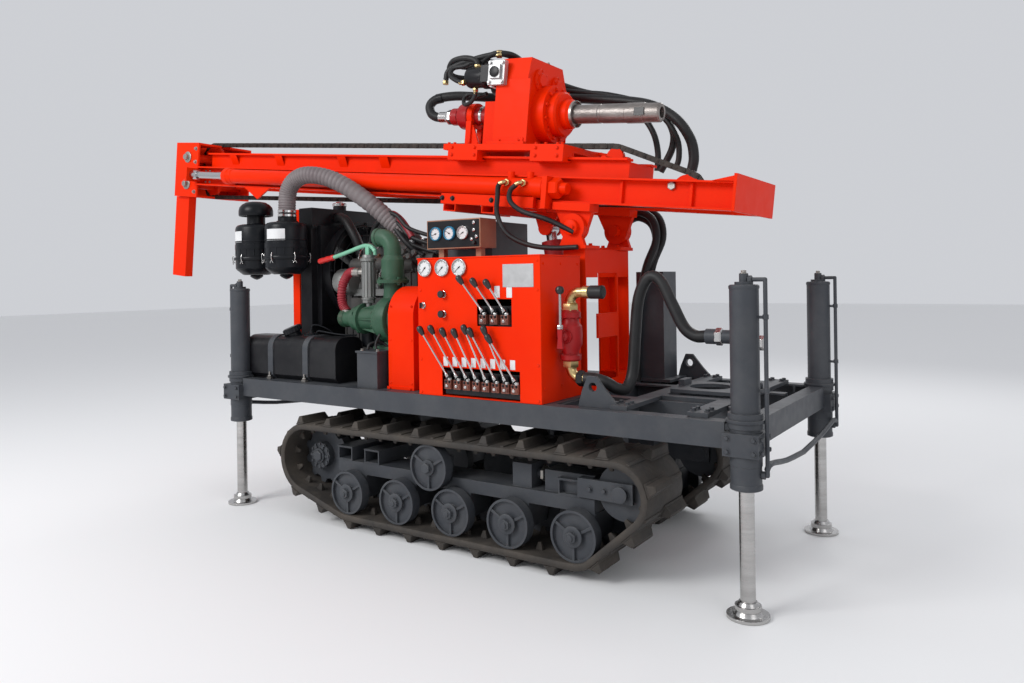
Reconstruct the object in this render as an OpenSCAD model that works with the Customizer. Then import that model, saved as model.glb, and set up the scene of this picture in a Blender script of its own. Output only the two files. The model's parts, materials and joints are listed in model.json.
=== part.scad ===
// Water well drilling rig on rubber tracks, with its mast laid down for the road.
// X runs along the machine towards the drilling end, Y away from the operator's side, Z up.
// The ground is z = 0. Lengths are in millimetres and angles in degrees.

/* [Stance] */
// Distance between the leg axes along the machine
leg_span = 2600; // [2500:10:2700]
// Distance between the leg axes across the machine
leg_gauge = 1030; // [1000:10:1060]
// Height of the deck's top face
deck_top = 641; // [630:1:655]
// Depth of the deck's side rails
rail_depth = 88; // [70:1:95]
// Width of the deck's side rails
rail_width = 60; // [50:1:62]
// Wall of the deck's open sections
rail_wall = 8; // [5:1:10]

/* [Legs] */
// Diameter of the upper jack barrels
barrel_d = 95; // [85:1:100]
// Diameter of the sleeves that hold the jacks
sleeve_d = 105; // [101:1:110]
// Height of the sleeve's lower mouth
sleeve_bottom = 422; // [410:1:440]
// Height of the barrel's top cap
barrel_top = 1092; // [1060:1:1120]
// Diameter of the jack rods
jack_rod_d = 50; // [40:1:55]
// Diameter of the round foot plates
foot_d = 140; // [120:1:160]
// Thickness of the foot plates
foot_t = 10; // [8:1:14]

/* [Tracks] */
// Width of a track belt
belt_width = 330; // [300:1:350]
// Distance of a track's middle from the machine's middle
belt_y = 393; // [385:1:400]
// Thickness of the belt under its lugs
belt_t = 28; // [24:1:32]
// Height of the lugs on the belt
lug_h = 35; // [25:1:40]
// Number of lugs round a belt, even
lug_count = 46; // [44:2:50]
// Diameter of the road rollers
roller_d = 194; // [184:1:196]
// Diameter of the toothed drive wheel over its teeth
sprocket_d = 279; // [272:1:279.4]
// Number of teeth on the drive wheel
sprocket_teeth = 11; // [9:1:13]
// Diameter of the front idler wheel
idler_d = 215; // [205:1:219]
// Width of one rim of a roller
rim_w = 48; // [40:1:52]

/* [Mast] */
// Angle by which the laid mast falls towards the drilling end
mast_tilt = 6.15; // [5.5:0.05:6.5]
// Place of the mast hinge along the machine
pivot_x = 490; // [485:1:495]
// Height of the mast hinge
pivot_z = 1335; // [1325:1:1345]
// Distance of the beam's underside from the hinge
beam_low = 102; // [100:1:106]
// Depth of the lower beam
beam_h = 111; // [105:1:115]
// Width of the lower beam over its flanges
beam_w = 400; // [380:2:404]
// Thickness of the beam's flanges
flange_t = 8; // [6:1:10]
// Length of the beam behind the hinge
beam_back = 2640; // [2600:10:2680]
// Depth of the upper rail
rail_h = 87; // [80:1:92]
// Width of the upper rail
rail_w = 300; // [290:2:304]
// Length of the upper rail beyond the hinge
rail_end = 190; // [180:1:200]
// Gap between the raised mast's foot and the deck
foot_gap = 8; // [6:1:12]
// Stroke of the mast in its cradle
mast_stroke = 590; // [400:10:590]
// Diameter of the long feed cylinder
feed_d = 80; // [70:1:82]
// Diameter of the feed cylinder's rod
feed_rod_d = 45; // [40:1:50]
// Diameter of the hinge pin
hinge_pin_d = 50; // [40:1:60]

/* [Power head] */
// Distance of the spindle's axis from the mast hinge
spindle_w = 507; // [500:1:515]
// Length of the carriage plate
carriage_len = 653; // [620:1:680]
// Thickness of the gearbox along the spindle
gear_t = 152; // [140:1:160]
// Width of the gearbox
gear_w = 336; // [320:2:350]
// Diameter of the spindle sub
spindle_d = 84; // [76:1:90]
// Radius of the water bore through the spindle
spindle_bore_r = 24; // [18:1:28]
// Reach of the spindle beyond the hinge
spindle_reach = 259; // [240:1:270]

/* [Body] */
// Length of the control cabinet
cabinet_len = 610; // [600:5:615]
// Width of the control cabinet
cabinet_w = 313; // [290:1:320]
// Height of the control cabinet over the deck
cabinet_h = 574; // [560:1:590]
// Length of the fuel tank
tank_len = 655; // [620:5:670]
// Height of the fuel tank
tank_h = 215; // [200:1:225]
// Diameter of the air filters
filter_d = 220; // [200:1:226]
// Radius of the hole in the deck that the drill string passes
drill_hole_r = 85; // [70:1:95]
// Width of the radiator
radiator_w = 600; // [560:5:610]
// Height of the radiator's top over the ground
radiator_top = 1505; // [1480:5:1520]

/* [Hidden] */
$fn = 48;

// Clearances: fixed neighbours, running fits and moving neighbours
seat = 0.3;
fit = 0.05;
air = 6;

red = [0.86, 0.16, 0.05];
dark_red = [0.62, 0.09, 0.05];
slate = [0.29, 0.31, 0.33];
black = [0.08, 0.08, 0.09];
rubber = [0.13, 0.12, 0.11];
steel = [0.62, 0.61, 0.59];
chrome = [0.8, 0.8, 0.82];
brass = [0.72, 0.6, 0.33];
green = [0.27, 0.43, 0.33];
mint = [0.45, 0.68, 0.56];

leg_x = leg_span / 2;
leg_y = leg_gauge / 2;
rail_bottom = deck_top - rail_depth;
rail_out = leg_y + 35;
rail_in = rail_out - rail_width;

// Mast frame: u along the mast towards the drilling end, w up from the hinge
beam_end = pivot_z - deck_top - foot_gap;
beam_top = beam_low + beam_h;
rail_top = beam_top + rail_h;
deck_hole_x = pivot_x + spindle_w;
plate_low = rail_top + 22;
carriage_t = 28;
arm_u = -2820;
arm_w_low = -465;

// The part's box is centred on the origin, so the model shifts along X
low_x = pivot_x + (arm_u - 65) * cos(mast_tilt) + arm_w_low * sin(mast_tilt);
high_x = leg_x + 77;
origin_x = -(low_x + high_x) / 2;

module at_origin() translate([origin_x, 0, 0]) children();
module on_mast() at_origin() translate([pivot_x, 0, pivot_z]) rotate([0, mast_tilt, 0]) children();
module both_sides() { children(); mirror([0, 1, 0]) children(); }

// A box between two corners
module block(x, y, z) translate([x[0], y[0], z[0]]) cube([x[1] - x[0], y[1] - y[0], z[1] - z[0]]);
// Round bars that start at a point and run along one axis
module bar_x(at, len, d) translate(at) rotate([0, 90, 0]) cylinder(h = len, d = d);
module bar_y(at, len, d) translate(at) rotate([-90, 0, 0]) cylinder(h = len, d = d);
module bar_z(at, len, d) translate(at) cylinder(h = len, d = d);
// A plate cut from an outline in the XZ plane, from y0 on
module plate_y(y0, t) translate([0, y0 + t, 0]) rotate([90, 0, 0]) linear_extrude(t) children();
// A plate cut from an outline in the YZ plane, from x0 on
module plate_x(x0, t) translate([x0, 0, 0]) rotate([90, 0, 90]) linear_extrude(t) children();

// Points of a smooth line through hand-picked points
function spline_point(p, i, t) = let (
    a = p[max(i - 1, 0)], b = p[i], c = p[i + 1], d = p[min(i + 2, len(p) - 1)])
  0.5 * (2 * b + (c - a) * t + (2 * a - 5 * b + 4 * c - d) * t * t + (3 * b - a - 3 * c + d) * t * t * t);
function smooth_line(p, steps) = concat(
  [for (i = [0:len(p) - 2]) for (k = [0:steps - 1]) spline_point(p, i, k / steps)], [p[len(p) - 1]]);
function unit(v) = v / norm(v);
function tangents(p) = [for (i = [0:len(p) - 1]) unit(p[min(i + 1, len(p) - 1)] - p[max(i - 1, 0)])];
function flat_to(v, t) = unit(v - (v * t) * t);
function side_of(t) = flat_to(abs(t[2]) > 0.8 ? [1, 0, 0] : [0, 0, 1], t);
function carried(t) = [for (i = 0, n = side_of(t[0]); i < len(t); n = flat_to(n, t[min(i + 1, len(t) - 1)]), i = i + 1) n];

// A hose of constant thickness along a smooth line
module hose(points, d, sides = 8, steps = 3) {
  line = smooth_line(points, steps);
  last = len(points) - 1;
  between = tangents(line);
  t = [for (i = [0:len(line) - 1]) i == 0 ? unit(points[1] - points[0])
    : i == len(line) - 1 ? unit(points[last] - points[last - 1]) : between[i]];
  n = carried(t);
  rings = [for (i = [0:len(line) - 1]) for (k = [0:sides - 1])
    line[i] + d / 2 * (cos(360 * k / sides) * n[i] + sin(360 * k / sides) * cross(t[i], n[i]))];
  walls = [for (i = [0:len(line) - 2]) for (k = [0:sides - 1]) let (j = (k + 1) % sides)
    [i * sides + k, i * sides + j, (i + 1) * sides + j, (i + 1) * sides + k]];
  ends = [[for (k = [sides - 1:-1:0]) k], [for (k = [0:sides - 1]) (len(line) - 1) * sides + k]];
  polyhedron(rings, concat([for (w = walls) each [[w[0], w[2], w[1]], [w[0], w[3], w[2]]]],
    [for (e = ends) [for (k = [0:sides - 1]) e[sides - 1 - k]]]));
}

// Tracks

// Wheels inside a belt, in the belt's running order: place along the machine, height, radius
X = 0; Z = 1; R = 2;
roller_z = roller_d / 2 + belt_t + lug_h + seat;
roller_x = [-523, -225, 72, 358, 655];
sprocket_at = [-790, 285];
idler_at = [830, 330];
belt_wheels = [
  [roller_x[0], roller_z, roller_d / 2 + seat],
  [roller_x[4], roller_z, roller_d / 2 + seat],
  [idler_at[0], idler_at[1], idler_d / 2 + seat],
  [sprocket_at[0], sprocket_at[1], sprocket_d / 2 + seat]];
wheels = len(belt_wheels);
function wheel(i) = belt_wheels[(i + wheels) % wheels];
// Direction of the run from wheel i of a list to the next one
function tangent_angle(w, i) = let (n = len(w), a = w[(i + n) % n], b = w[(i + n + 1) % n], dx = b[X] - a[X], dz = b[Z] - a[Z])
  atan2(dz, dx) + asin((a[R] - b[R]) / norm([dx, dz]));
function run_angle(i) = tangent_angle(belt_wheels, i);
function run_length(i) = let (a = wheel(i), b = wheel(i + 1), dx = b[X] - a[X], dz = b[Z] - a[Z])
  sqrt(dx * dx + dz * dz - (a[R] - b[R]) * (a[R] - b[R]));
function wrap(i) = let (turn = run_angle(i) - run_angle(i - 1)) turn < 0 ? turn + 360 : turn;
function arc_length(i) = wheel(i)[R] * wrap(i) * PI / 180;
belt_length = arc_length(0) + run_length(0) + arc_length(1) + run_length(1)
  + arc_length(2) + run_length(2) + arc_length(3) + run_length(3);
function outward(a) = [sin(a), -cos(a)];
// The point a distance s along the belt's inner face, h outside it
function belt_point(s, h, i = 0) = let (w = wheel(i), arc = arc_length(i), run = run_length(i))
  s < arc ? let (a = run_angle(i - 1) + s / w[R] * 180 / PI) [w[X], w[Z]] + (w[R] + h) * outward(a)
  : s < arc + run || i == wheels - 1
  ? [w[X], w[Z]] + (w[R] + h) * outward(run_angle(i)) + (s - arc) * [cos(run_angle(i)), sin(run_angle(i))]
  : belt_point(s - arc - run, h, i + 1);
lug_pitch = belt_length / lug_count;
lug_base = 44;
lug_tip = 20;
lug_s = [-lug_base / 2, -lug_tip / 2, lug_tip / 2, lug_base / 2];
lug_rise = [0, lug_h, lug_h, 0];

// The line that a loop takes round its wheels, with the arcs in short steps
arc_step = 6;
function turn_at(w, i) = let (turn = tangent_angle(w, i) - tangent_angle(w, i - 1)) turn < 0 ? turn + 360 : turn;
function loop_points(w) = [for (i = [0:len(w) - 1])
  let (start = tangent_angle(w, i - 1), turn = turn_at(w, i), n = max(1, ceil(turn / arc_step)))
  for (k = [0:n]) [w[i][X], w[i][Z]] + w[i][R] * outward(start + turn * k / n)];
module loop_inside(w) polygon(loop_points(w));

// Outline of half a belt's width, with every second lug from number first
module belt_outline(first) difference() {
  polygon([for (k = [0:lug_count - 1]) let (s = (k + 0.5) * lug_pitch)
    if (k % 2 == first) each [for (c = [0:3]) belt_point(s + lug_s[c], belt_t + lug_rise[c])]
    else each [for (c = [-0.25, 0.25]) belt_point(s + c * lug_pitch, belt_t)]]);
  loop_inside(belt_wheels);
}

module track_belt() at_origin() color(rubber) {
  plate_y(-belt_y - belt_width / 2, belt_width / 2) belt_outline(0);
  plate_y(-belt_y, belt_width / 2) belt_outline(1);
}

// Widths of a wheel set across the belt: outer rims, frame beam between them
rim_out = belt_y + 150;
rim_in = belt_y - 150;
beam_half = 82;
track_beam_z = [236, 290];
beam_front = idler_at[0] - idler_d / 2 - 10;
cross_beam_z = [290, 352];
cross_beam_x = [-598, -430, 600];
axle_d = 46;
top_roller_x = -42;
top_share = (top_roller_x - sprocket_at[0]) / (idler_at[0] - sprocket_at[0]);
top_roller_z = sprocket_at[1] + top_share * (idler_at[1] - sprocket_at[1])
  + sprocket_d / 2 + top_share * (idler_d - sprocket_d) / 2 - roller_d / 2 - seat;

module track_frames() at_origin() color(slate) both_sides() difference() {
  union() {
    block([-640, beam_front], [-belt_y - beam_half, -belt_y + beam_half], track_beam_z);
    for (x = roller_x) plate_y(-belt_y - beam_half, 2 * beam_half)
      polygon([[x - 62, track_beam_z[0]], [x - 44, roller_z - 36], [x + 44, roller_z - 36], [x + 62, track_beam_z[0]]]);
    // Drive motor housing at the sprocket and slider box at the idler
    plate_y(-belt_y + 28, 2 * 27)
      polygon([[-639, track_beam_z[0]], [-700, 245], [-700, 325], [-640, 325], [-600, track_beam_z[1] - 1]]);
    block([330, 420], [-belt_y - 60, -belt_y + 60], [track_beam_z[1], 385]);
    block([480, 700], [-belt_y - 55, -belt_y + 55], [track_beam_z[1], 372]);
    for (x = cross_beam_x) difference() {
      block([x - 45, x + 45], [-belt_y - beam_half, 0], cross_beam_z);
      block([x - 39, x + 39], [-belt_y - beam_half - 1, -rim_in + 30], cross_beam_z + [6, -6]);
    }
    for (x = [-520, 600]) block([x - 150, x + 90], [-200, -130], [cross_beam_z[0], rail_bottom - seat]);
  }
  for (x = roller_x) bar_y([x, -rim_out - 1, roller_z], 2 * rim_w + 400, axle_d + 2 * fit);
}

// A dished wheel rim with three spokes, its outer face at y0
module spoked_rim(d, y0) {
  difference() {
    bar_y([0, y0, 0], rim_w, d);
    bar_y([0, y0 - 1, 0], 15, d - 18);
  }
  for (a = [90, 210, 330]) rotate([0, a, 0]) block([axle_d / 2, d / 2 - 8], [y0 + 3, y0 + 15], [-5, 5]);
  bar_y([0, y0 - 2, 0], 20, 66);
  bar_y([0, y0 - 10, 0], 10, 44, $fn = 6);
}

module wheel_pair(x, z, d) translate([x, 0, z]) {
  spoked_rim(d, -rim_out);
  bar_y([0, -rim_in - rim_w, 0], rim_w, d);
  bar_y([0, -rim_out + 1, 0], rim_out - rim_in - 2, axle_d);
}

module track_rollers() at_origin() color(slate) both_sides() {
  for (x = roller_x) wheel_pair(x, roller_z, roller_d);
  translate([top_roller_x, 0, top_roller_z]) {
    spoked_rim(roller_d, -rim_out);
    bar_y([0, -rim_out + 10, 0], 130, axle_d);
  }
  block([top_roller_x - 30, top_roller_x + 30], [-belt_y - 50, -belt_y - 10],
    [track_beam_z[1] + seat, top_roller_z + 30]);
}

module idlers() at_origin() color(slate) both_sides() {
  translate([idler_at[0], 0, idler_at[1]]) {
    for (y = [-belt_y - 70, -belt_y + 22]) bar_y([0, y, 0], 48, idler_d);
    bar_y([0, -belt_y - 96, 0], 192, 60);
    bar_y([0, -belt_y - 108, 0], 12, 36, $fn = 6);
  }
  // Yoke plates that carry the axle from the slider
  for (y = [-belt_y - 94, -belt_y + 78]) difference() {
    block([648, 875], [y, y + 16], [295, 368]);
    bar_y([idler_at[0], y - 1, idler_at[1]], 18, 60);
  }
  for (y = [-belt_y - 78, -belt_y + 55 + seat]) block([648, 700], [y, y + 23 - seat], [295, 368]);
  bar_x([420 + seat, -belt_y, 340], 60 - 2 * seat, 40);
}

sprocket_root = 0.86;
function tooth_outline(d, n) = [for (k = [0:n - 1]) each
  [for (c = [[-0.30, sprocket_root], [-0.16, 1], [0.16, 1], [0.30, sprocket_root]])
    d / 2 * c[1] * [cos(360 * (k + c[0]) / n), sin(360 * (k + c[0]) / n)]]];

module sprockets() at_origin() color(slate) both_sides() translate([sprocket_at[0], 0, sprocket_at[1]]) {
  plate_y(-belt_y - 24, 48) polygon(tooth_outline(sprocket_d, sprocket_teeth));
  bar_y([0, -belt_y - 60, 0], 120, 120);
  bar_y([0, -belt_y - 72, 0], 12, 70);
  for (a = [0:60:300]) rotate([0, a, 0]) bar_y([44, -belt_y - 68, 0], 8, 14, $fn = 6);
  bar_y([0, -belt_y + 60, 0], 100, 150);
  // Final drive case reaching back to the frame
  block([0, 90 - seat], [-belt_y + 30, -belt_y + beam_half], [-40, 38]);
}

// Deck and legs

clamp_box = [-72, 64];
deck_x = [-leg_x + 60, leg_x - 60];
inner_rail_y = 230;
deck_plate_end = 560;
cross_bars = [-905, -420, 130, 545, 760];
floor_x = [800, 1180];

module open_section(len, h, w, t) difference() {
  cube([len, w, h]);
  translate([-1, t, t]) cube([len + 2, w, h - 2 * t]);
}

module deck_frame() at_origin() color(slate) {
  both_sides() {
    translate([deck_x[0], -rail_out, rail_bottom])
      open_section(deck_x[1] - deck_x[0], rail_depth, rail_width, rail_wall);
    translate([deck_x[0], -inner_rail_y, rail_bottom])
      open_section(deck_x[1] - deck_x[0], rail_depth, 50, rail_wall);
    for (s = [-1, 1]) difference() {
      block([s * leg_x - 60, s * leg_x + 60], [-leg_y - 61, -leg_y + 61], [534, 610]);
      bar_z([s * leg_x, -leg_y, 500], 200, sleeve_d + 2 * seat);
    }
  }
  for (s = [-1, 1]) block([s * leg_x - 30, s * leg_x + 30], [-leg_y + 60, leg_y - 60], [rail_bottom, deck_top]);
  for (x = cross_bars) block([x - 25, x + 25], [-rail_in, rail_in], [rail_bottom, deck_top - 6]);
  block([deck_x[0] + 80, deck_plate_end], [-rail_in, rail_in], [deck_top - 6, deck_top]);
  // Clevis for the foot of the lift cylinder
  both_sides() {
    plate_y(-62, 14) {
      translate(lift_foot) circle(34);
      polygon([[lift_foot[0] - 60, deck_top - 1], [lift_foot[0] - 34, lift_foot[1]],
        [lift_foot[0] + 34, lift_foot[1]], [lift_foot[0] + 60, deck_top - 1]]);
    }
    bar_y([lift_foot[0], -70, lift_foot[1]], 71, lift_pin_d);
  }
}

module jack_barrels() at_origin() color(slate) both_sides() for (s = [-1, 1]) translate([s * leg_x, -leg_y, 0])
  difference() {
    union() {
      bar_z([0, 0, sleeve_bottom], 560 - sleeve_bottom, sleeve_d - 4);
      bar_z([0, 0, 500], 140, sleeve_d);
      bar_z([0, 0, 622], 18, sleeve_d + 10);
      bar_z([0, 0, 652], 20, sleeve_d + 10);
      bar_z([0, 0, 600], barrel_top - 600, barrel_d);
      bar_z([0, 0, barrel_top - 1], 12, 60);
      bar_z([0, 0, barrel_top], 38, 30);
    }
    bar_z([0, 0, sleeve_bottom - 1], barrel_top - sleeve_bottom - 60, jack_rod_d + 2 * fit);
  }

// The upper end of a jack rod stays inside its barrel
jack_rod_top = 660;
module jack_foot(sx, sy) at_origin() translate([sx * leg_x, sy * leg_y, 0]) {
  color(chrome) bar_z([0, 0, 30], jack_rod_top - 30, jack_rod_d);
  color(slate) {
    cylinder(h = foot_t, d = foot_d);
    translate([0, 0, foot_t]) cylinder(h = 16, d1 = 96, d2 = 80);
    bar_z([0, 0, foot_t + 14], 16, 86);
    translate([0, 0, foot_t + 30]) cylinder(h = 12, d1 = 74, d2 = 60);
  }
}
module jack_foot_back_near() jack_foot(-1, -1);
module jack_foot_back_far() jack_foot(-1, 1);
module jack_foot_front_near() jack_foot(1, -1);
module jack_foot_front_far() jack_foot(1, 1);

// Hard pipes down the legs, and the hoses that join the legs of a pair
pipe_d = 14;
pipe_off = 70;
module hydraulic_pipes() at_origin() {
  color(slate) both_sides() for (s = [-1, 1]) translate([s * leg_x, -leg_y, 0]) {
    for (z = [472, barrel_top + 18]) {
      inner = (z < 600 ? sleeve_d / 2 - 2 : 15) + seat;
      bar_x([s > 0 ? inner : -pipe_off, 0, z], pipe_off - inner, pipe_d);
      translate([s * pipe_off, 0, z]) sphere(d = pipe_d);
    }
    bar_z([s * pipe_off, 0, 472], barrel_top + 18 - 472, pipe_d);
  }
  color(black) both_sides() for (s = [-1, 1])
    hose([[s * (leg_x + 66), -leg_y + 8, 490], [s * (leg_x + 66), -leg_y + 60, 500],
      [s * (leg_x + 60), -250, 470], [s * (leg_x + 56), -1, 452]], 20);
}

// Power pack

engine_x = [-880, -390];
engine_y = [-190, 210];
crank_z = 960;
module engine() at_origin() color([0.17, 0.18, 0.19]) {
  block(engine_x, engine_y, [760, 1180]);
  block(engine_x + [30, -30], engine_y + [60, -60], [1180, 1250]);
  block(engine_x + [60, -60], engine_y + [80, -80], [690, 761]);
  bar_x([engine_x[1] - 1, 10, crank_z], 100, 380);
  block([engine_x[0] + 60, engine_x[0] + 120], [engine_y[0] - 60, engine_y[1] + 60], [deck_top + seat, 761]);
  block([engine_x[1] - 120, engine_x[1] - 60], [engine_y[0] - 60, engine_y[1] + 60], [deck_top + seat, 761]);
  // Exhaust manifold, silencer and injection pump
  bar_x([engine_x[0] + 60, engine_y[0] + 14, 1200], 420, 80);
  bar_x([engine_x[1] - 40, engine_y[0] + 14, 1226], 150, 62);
  bar_z([-430, -150, 1200], 100, 80);
  block([engine_x[0] + 100, engine_x[1] - 90], [engine_y[0] - 55, engine_y[0] + 1], [900, 1040]);
  // Shaft end that carries the fan
  bar_x([-948, 10, 1180], 80, 40);
}

radiator_x = [-1085, -1005];
fan_d = 470;
fan_at = [-960, 10, 1180];
module radiator() at_origin() color(black) {
  difference() {
    union() {
      block(radiator_x, [-radiator_w / 2, radiator_w / 2], [700, radiator_top - 90]);
      block(radiator_x + [-8, 8], [-radiator_w / 2, radiator_w / 2], [radiator_top - 90, radiator_top]);
      block(radiator_x + [-8, 8], [-radiator_w / 2, radiator_w / 2], [deck_top + seat, 720]);
      block([radiator_x[1], radiator_x[1] + 30], [-260, 270], [900, radiator_top - 92]);
      bar_x([radiator_x[1] + 29, fan_at[1], fan_at[2]], 50, fan_d + 50);
    }
    bar_x([radiator_x[1] + 4, fan_at[1], fan_at[2]], 90, fan_d + 24);
  }
  bar_z([-1045, -60, radiator_top], 22, 70);
}

fan_blades = 6;
module fan() at_origin() color([0.2, 0.2, 0.21]) translate(fan_at) {
  difference() {
    bar_x([-14, 0, 0], 34, 110);
    bar_x([12 - seat, 0, 0], 40, 40 + 2 * fit);
  }
  for (a = [0:360 / fan_blades:359]) rotate([a, 0, 0]) translate([0, 0, 50]) rotate([0, 0, 28])
    translate([-2, -38, 0]) cube([4, 76, fan_d / 2 - 54]);
}

tank_x = [-1240, -1240 + tank_len];
tank_y = [-490, -306];
tank_r = 60;
module tank_outline(extra = 0) translate([tank_y[0] - extra, deck_top + seat]) {
  w = tank_y[1] - tank_y[0] + 2 * extra;
  h = tank_h + extra;
  r = tank_r + extra;
  union() {
    translate([r, 0]) square([w - 2 * r, h]);
    square([w, h - r]);
    translate([r, h - r]) circle(r);
    translate([w - r, h - r]) circle(r);
  }
}
module fuel_tank() at_origin() color(black) {
  plate_x(tank_x[0], tank_len) tank_outline();
  for (x = [tank_x[0] + 160, tank_x[0] + 450]) plate_x(x, 38) difference() {
    tank_outline(5);
    tank_outline(-1);
  }
  translate([tank_x[0] + 250, tank_y[0] + 90, deck_top + tank_h - 8]) rotate([18, -14, 0]) cylinder(h = 52, d = 84);
}

filter_at = [[-1030, -421, 1185], [-1268, -345, 1172]];
module filter_can() rotate_extrude() polygon([[0, 0], [70, 0], [filter_d / 2, 55], [filter_d / 2, 96],
  [filter_d / 2 + 9, 96], [filter_d / 2 + 9, 104], [filter_d / 2, 104], [filter_d / 2, 222], [filter_d / 2 - 22, 250], [0, 250]]);
module air_filters() at_origin() color(black) {
  for (p = filter_at) translate(p) filter_can();
  translate(filter_at[0]) bar_z([-10, 0, 245], 36, 92);
  translate(filter_at[1]) {
    bar_z([0, 0, 245], 50, 90);
    translate([0, 0, 284]) rotate_extrude() polygon([[0, 0], [82, 0], [86, 14], [70, 52], [40, 64], [0, 66]]);
  }
  // Bridge bracket between the two filters, reaching the post
  block([-1240, -1146 - seat + 1], [-290, -250], [1230, 1270]);
  block([-1130, -1010], [-330, -300 - seat], [1230, 1270]);
}

module intake_duct() at_origin() color([0.5, 0.48, 0.48]) hose([[-1040, -421, 1466.4], [-1040, -421, 1500], [-1034, -419, 1545],
  [-985, -400, 1600], [-890, -368, 1622], [-780, -325, 1600], [-600, -240, 1500], [-500, -185, 1430],
  [-445, -155, 1370], [-430, -150, 1325], [-430, -150, 1300.4]], 84, 12);

module rest_post() at_origin() color(red) {
  block([-1145, -1095], [-300, -240], [deck_top + seat, 1500]);
  block([-1170, -1095], [-301, -220], [deck_top + seat, 655]);
}

pump_at = [-395, -355, 944];
box_top = 806;
outlet_d = 90;
outlet_bend = 65;
outlet_rise = 311;
module water_pump() at_origin() color(green) {
  bar_x(pump_at + [-40, 0, 0], 80, 270);
  bar_x(pump_at + [39, 0, 0], guard_x[0] - seat - pump_at[0] - 39, 110);
  bar_x(pump_at + [-54, 0, 0], 16, 180);
  bar_x(pump_at + [-320, 0, 0], 268, 116);
  bar_x(pump_at + [-200, 0, 0], 24, 146);
  bar_z(pump_at + [0, 0, 120], 60, 84);
  bar_z(pump_at + [0, 0, 168], 18, 150);
  bar_z(pump_at + [0, 0, 185], 90, 106);
  bar_z(pump_at + [0, 0, 274], outlet_rise - 274 + 6, outlet_d + 6);
  translate(pump_at + [-outlet_bend, 0, outlet_rise]) rotate([90, 0, 0])
    rotate_extrude(angle = 90) translate([outlet_bend, 0]) circle(d = outlet_d);
  bar_x(pump_at + [-outlet_bend - 32, 0, outlet_rise + outlet_bend], 38, outlet_d + 6);
  block([-462, -350], [-420, -304], [box_top + seat, box_top + 14]);
  block([-424, -380], [-385, -325], [box_top + 13, 895]);
}

primer_x = -550;
module hand_primer() at_origin() {
  color(steel) {
    bar_z([primer_x, pump_at[1], 1034], 196, 62);
    bar_z([primer_x, pump_at[1], 1229], 14, 74);
    bar_z([primer_x, pump_at[1], pump_at[2] + 58.3], 40, 30);
  }
  color(mint) hose([[primer_x, pump_at[1], 1240], [primer_x, pump_at[1], 1262],
    [primer_x - 40, pump_at[1], 1274], [primer_x - 220, pump_at[1] - 8, 1240]], 20, 8, 2);
  color(dark_red) bar_x([primer_x - 330, pump_at[1] - 8, 1238], 112, 26);
}

guard_x = [-313, -165];
module belt_guard() at_origin() color(red) difference() {
  plate_x(guard_x[0], guard_x[1] - guard_x[0]) {
    translate([-480, deck_top + seat]) square([260, 455 - 130]);
    translate([-480 + 130, deck_top + 455 - 130 + seat]) circle(130);
  }
  plate_x(guard_x[0] + 3, guard_x[1] - guard_x[0] - 6) {
    translate([-477, deck_top - 1]) square([300, 456 - 130]);
    translate([-480 + 130, deck_top + 455 - 130 + seat]) circle(127);
  }
}

module battery_box() at_origin() color(slate) {
  block([-468, -345], [-520, -300], [deck_top + seat, box_top]);
  block([-472, -341], [-524, -298], [box_top - 8, box_top]);
}

// Control cabinet

cabinet_x = [-80, -80 + cabinet_len];
cabinet_y = [-545, -545 + cabinet_w];
cabinet_z = [deck_top + seat, deck_top + cabinet_h];
panel_t = 4;
// Windows in the front panel: x, z of the low corner, width, height
windows = [[-20, 655, 360, 118], [172, 935, 178, 132]];
module control_cabinet() at_origin() color(red) difference() {
  block(cabinet_x, cabinet_y, cabinet_z);
  block(cabinet_x + [panel_t, -panel_t], cabinet_y + [panel_t, 1], cabinet_z + [panel_t, -panel_t]);
  for (w = windows) block([w[0], w[0] + w[2]], [cabinet_y[0] - 1, cabinet_y[0] + panel_t + 1], [w[1], w[1] + w[3]]);
}

// Valve sections and their levers: x, foot height, lean along x, lever length
VX = 0; VZ = 1; LEAN = 2; LEVER = 3;
lower_leans = [-29.8, -26.7, -20.4, -16, -13.4, -15.4, -8.9, -11.1];
lower_valves = [for (k = [0:7]) [8 + 42 * k, 728, lower_leans[k], 185]];
upper_valves = [[205, 1000, -27, 115], [255, 1000, -18, 93], [305, 1000, -14, 90]];
all_valves = concat(lower_valves, upper_valves);
valve_y = cabinet_y[0] - 8;
knob_out = 11.8;
module valve_banks() at_origin() color(steel) {
  for (v = all_valves) {
    block([v[VX] - 15, v[VX] + 15], [valve_y, valve_y + 60], [v[VZ] - 50, v[VZ] + 12]);
    block([v[VX] - 8, v[VX] + 8], [valve_y + 4, valve_y + 50], [v[VZ] + 11, v[VZ] + 26]);
  }
  block([-14, 324], [valve_y + 40, valve_y + 120], [cabinet_z[0] + panel_t + seat, 745]);
  block([180, 330], [valve_y + 40, valve_y + 120], [960, 1020]);
  block([230, 270], [valve_y + 70, valve_y + 110], [744, 961]);
}

module control_levers() at_origin() for (v = all_valves) {
  foot = [v[VX], valve_y - 6, v[VZ] + 2];
  translate(foot) bar_y([0, -2, 0], 8 - seat, 20);
  translate(foot) rotate([asin(knob_out / (v[LEVER] + 22)), v[LEAN], 0]) {
    color(chrome) cylinder(h = v[LEVER], d = 9, $fn = 16);
    color(black) translate([0, 0, v[LEVER] - 1]) rotate_extrude($fn = 24)
      polygon([[0, 0], [9, 0], [13.5, 14], [13.5, 32], [9, 42], [0, 44]]);
  }
}

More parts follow.
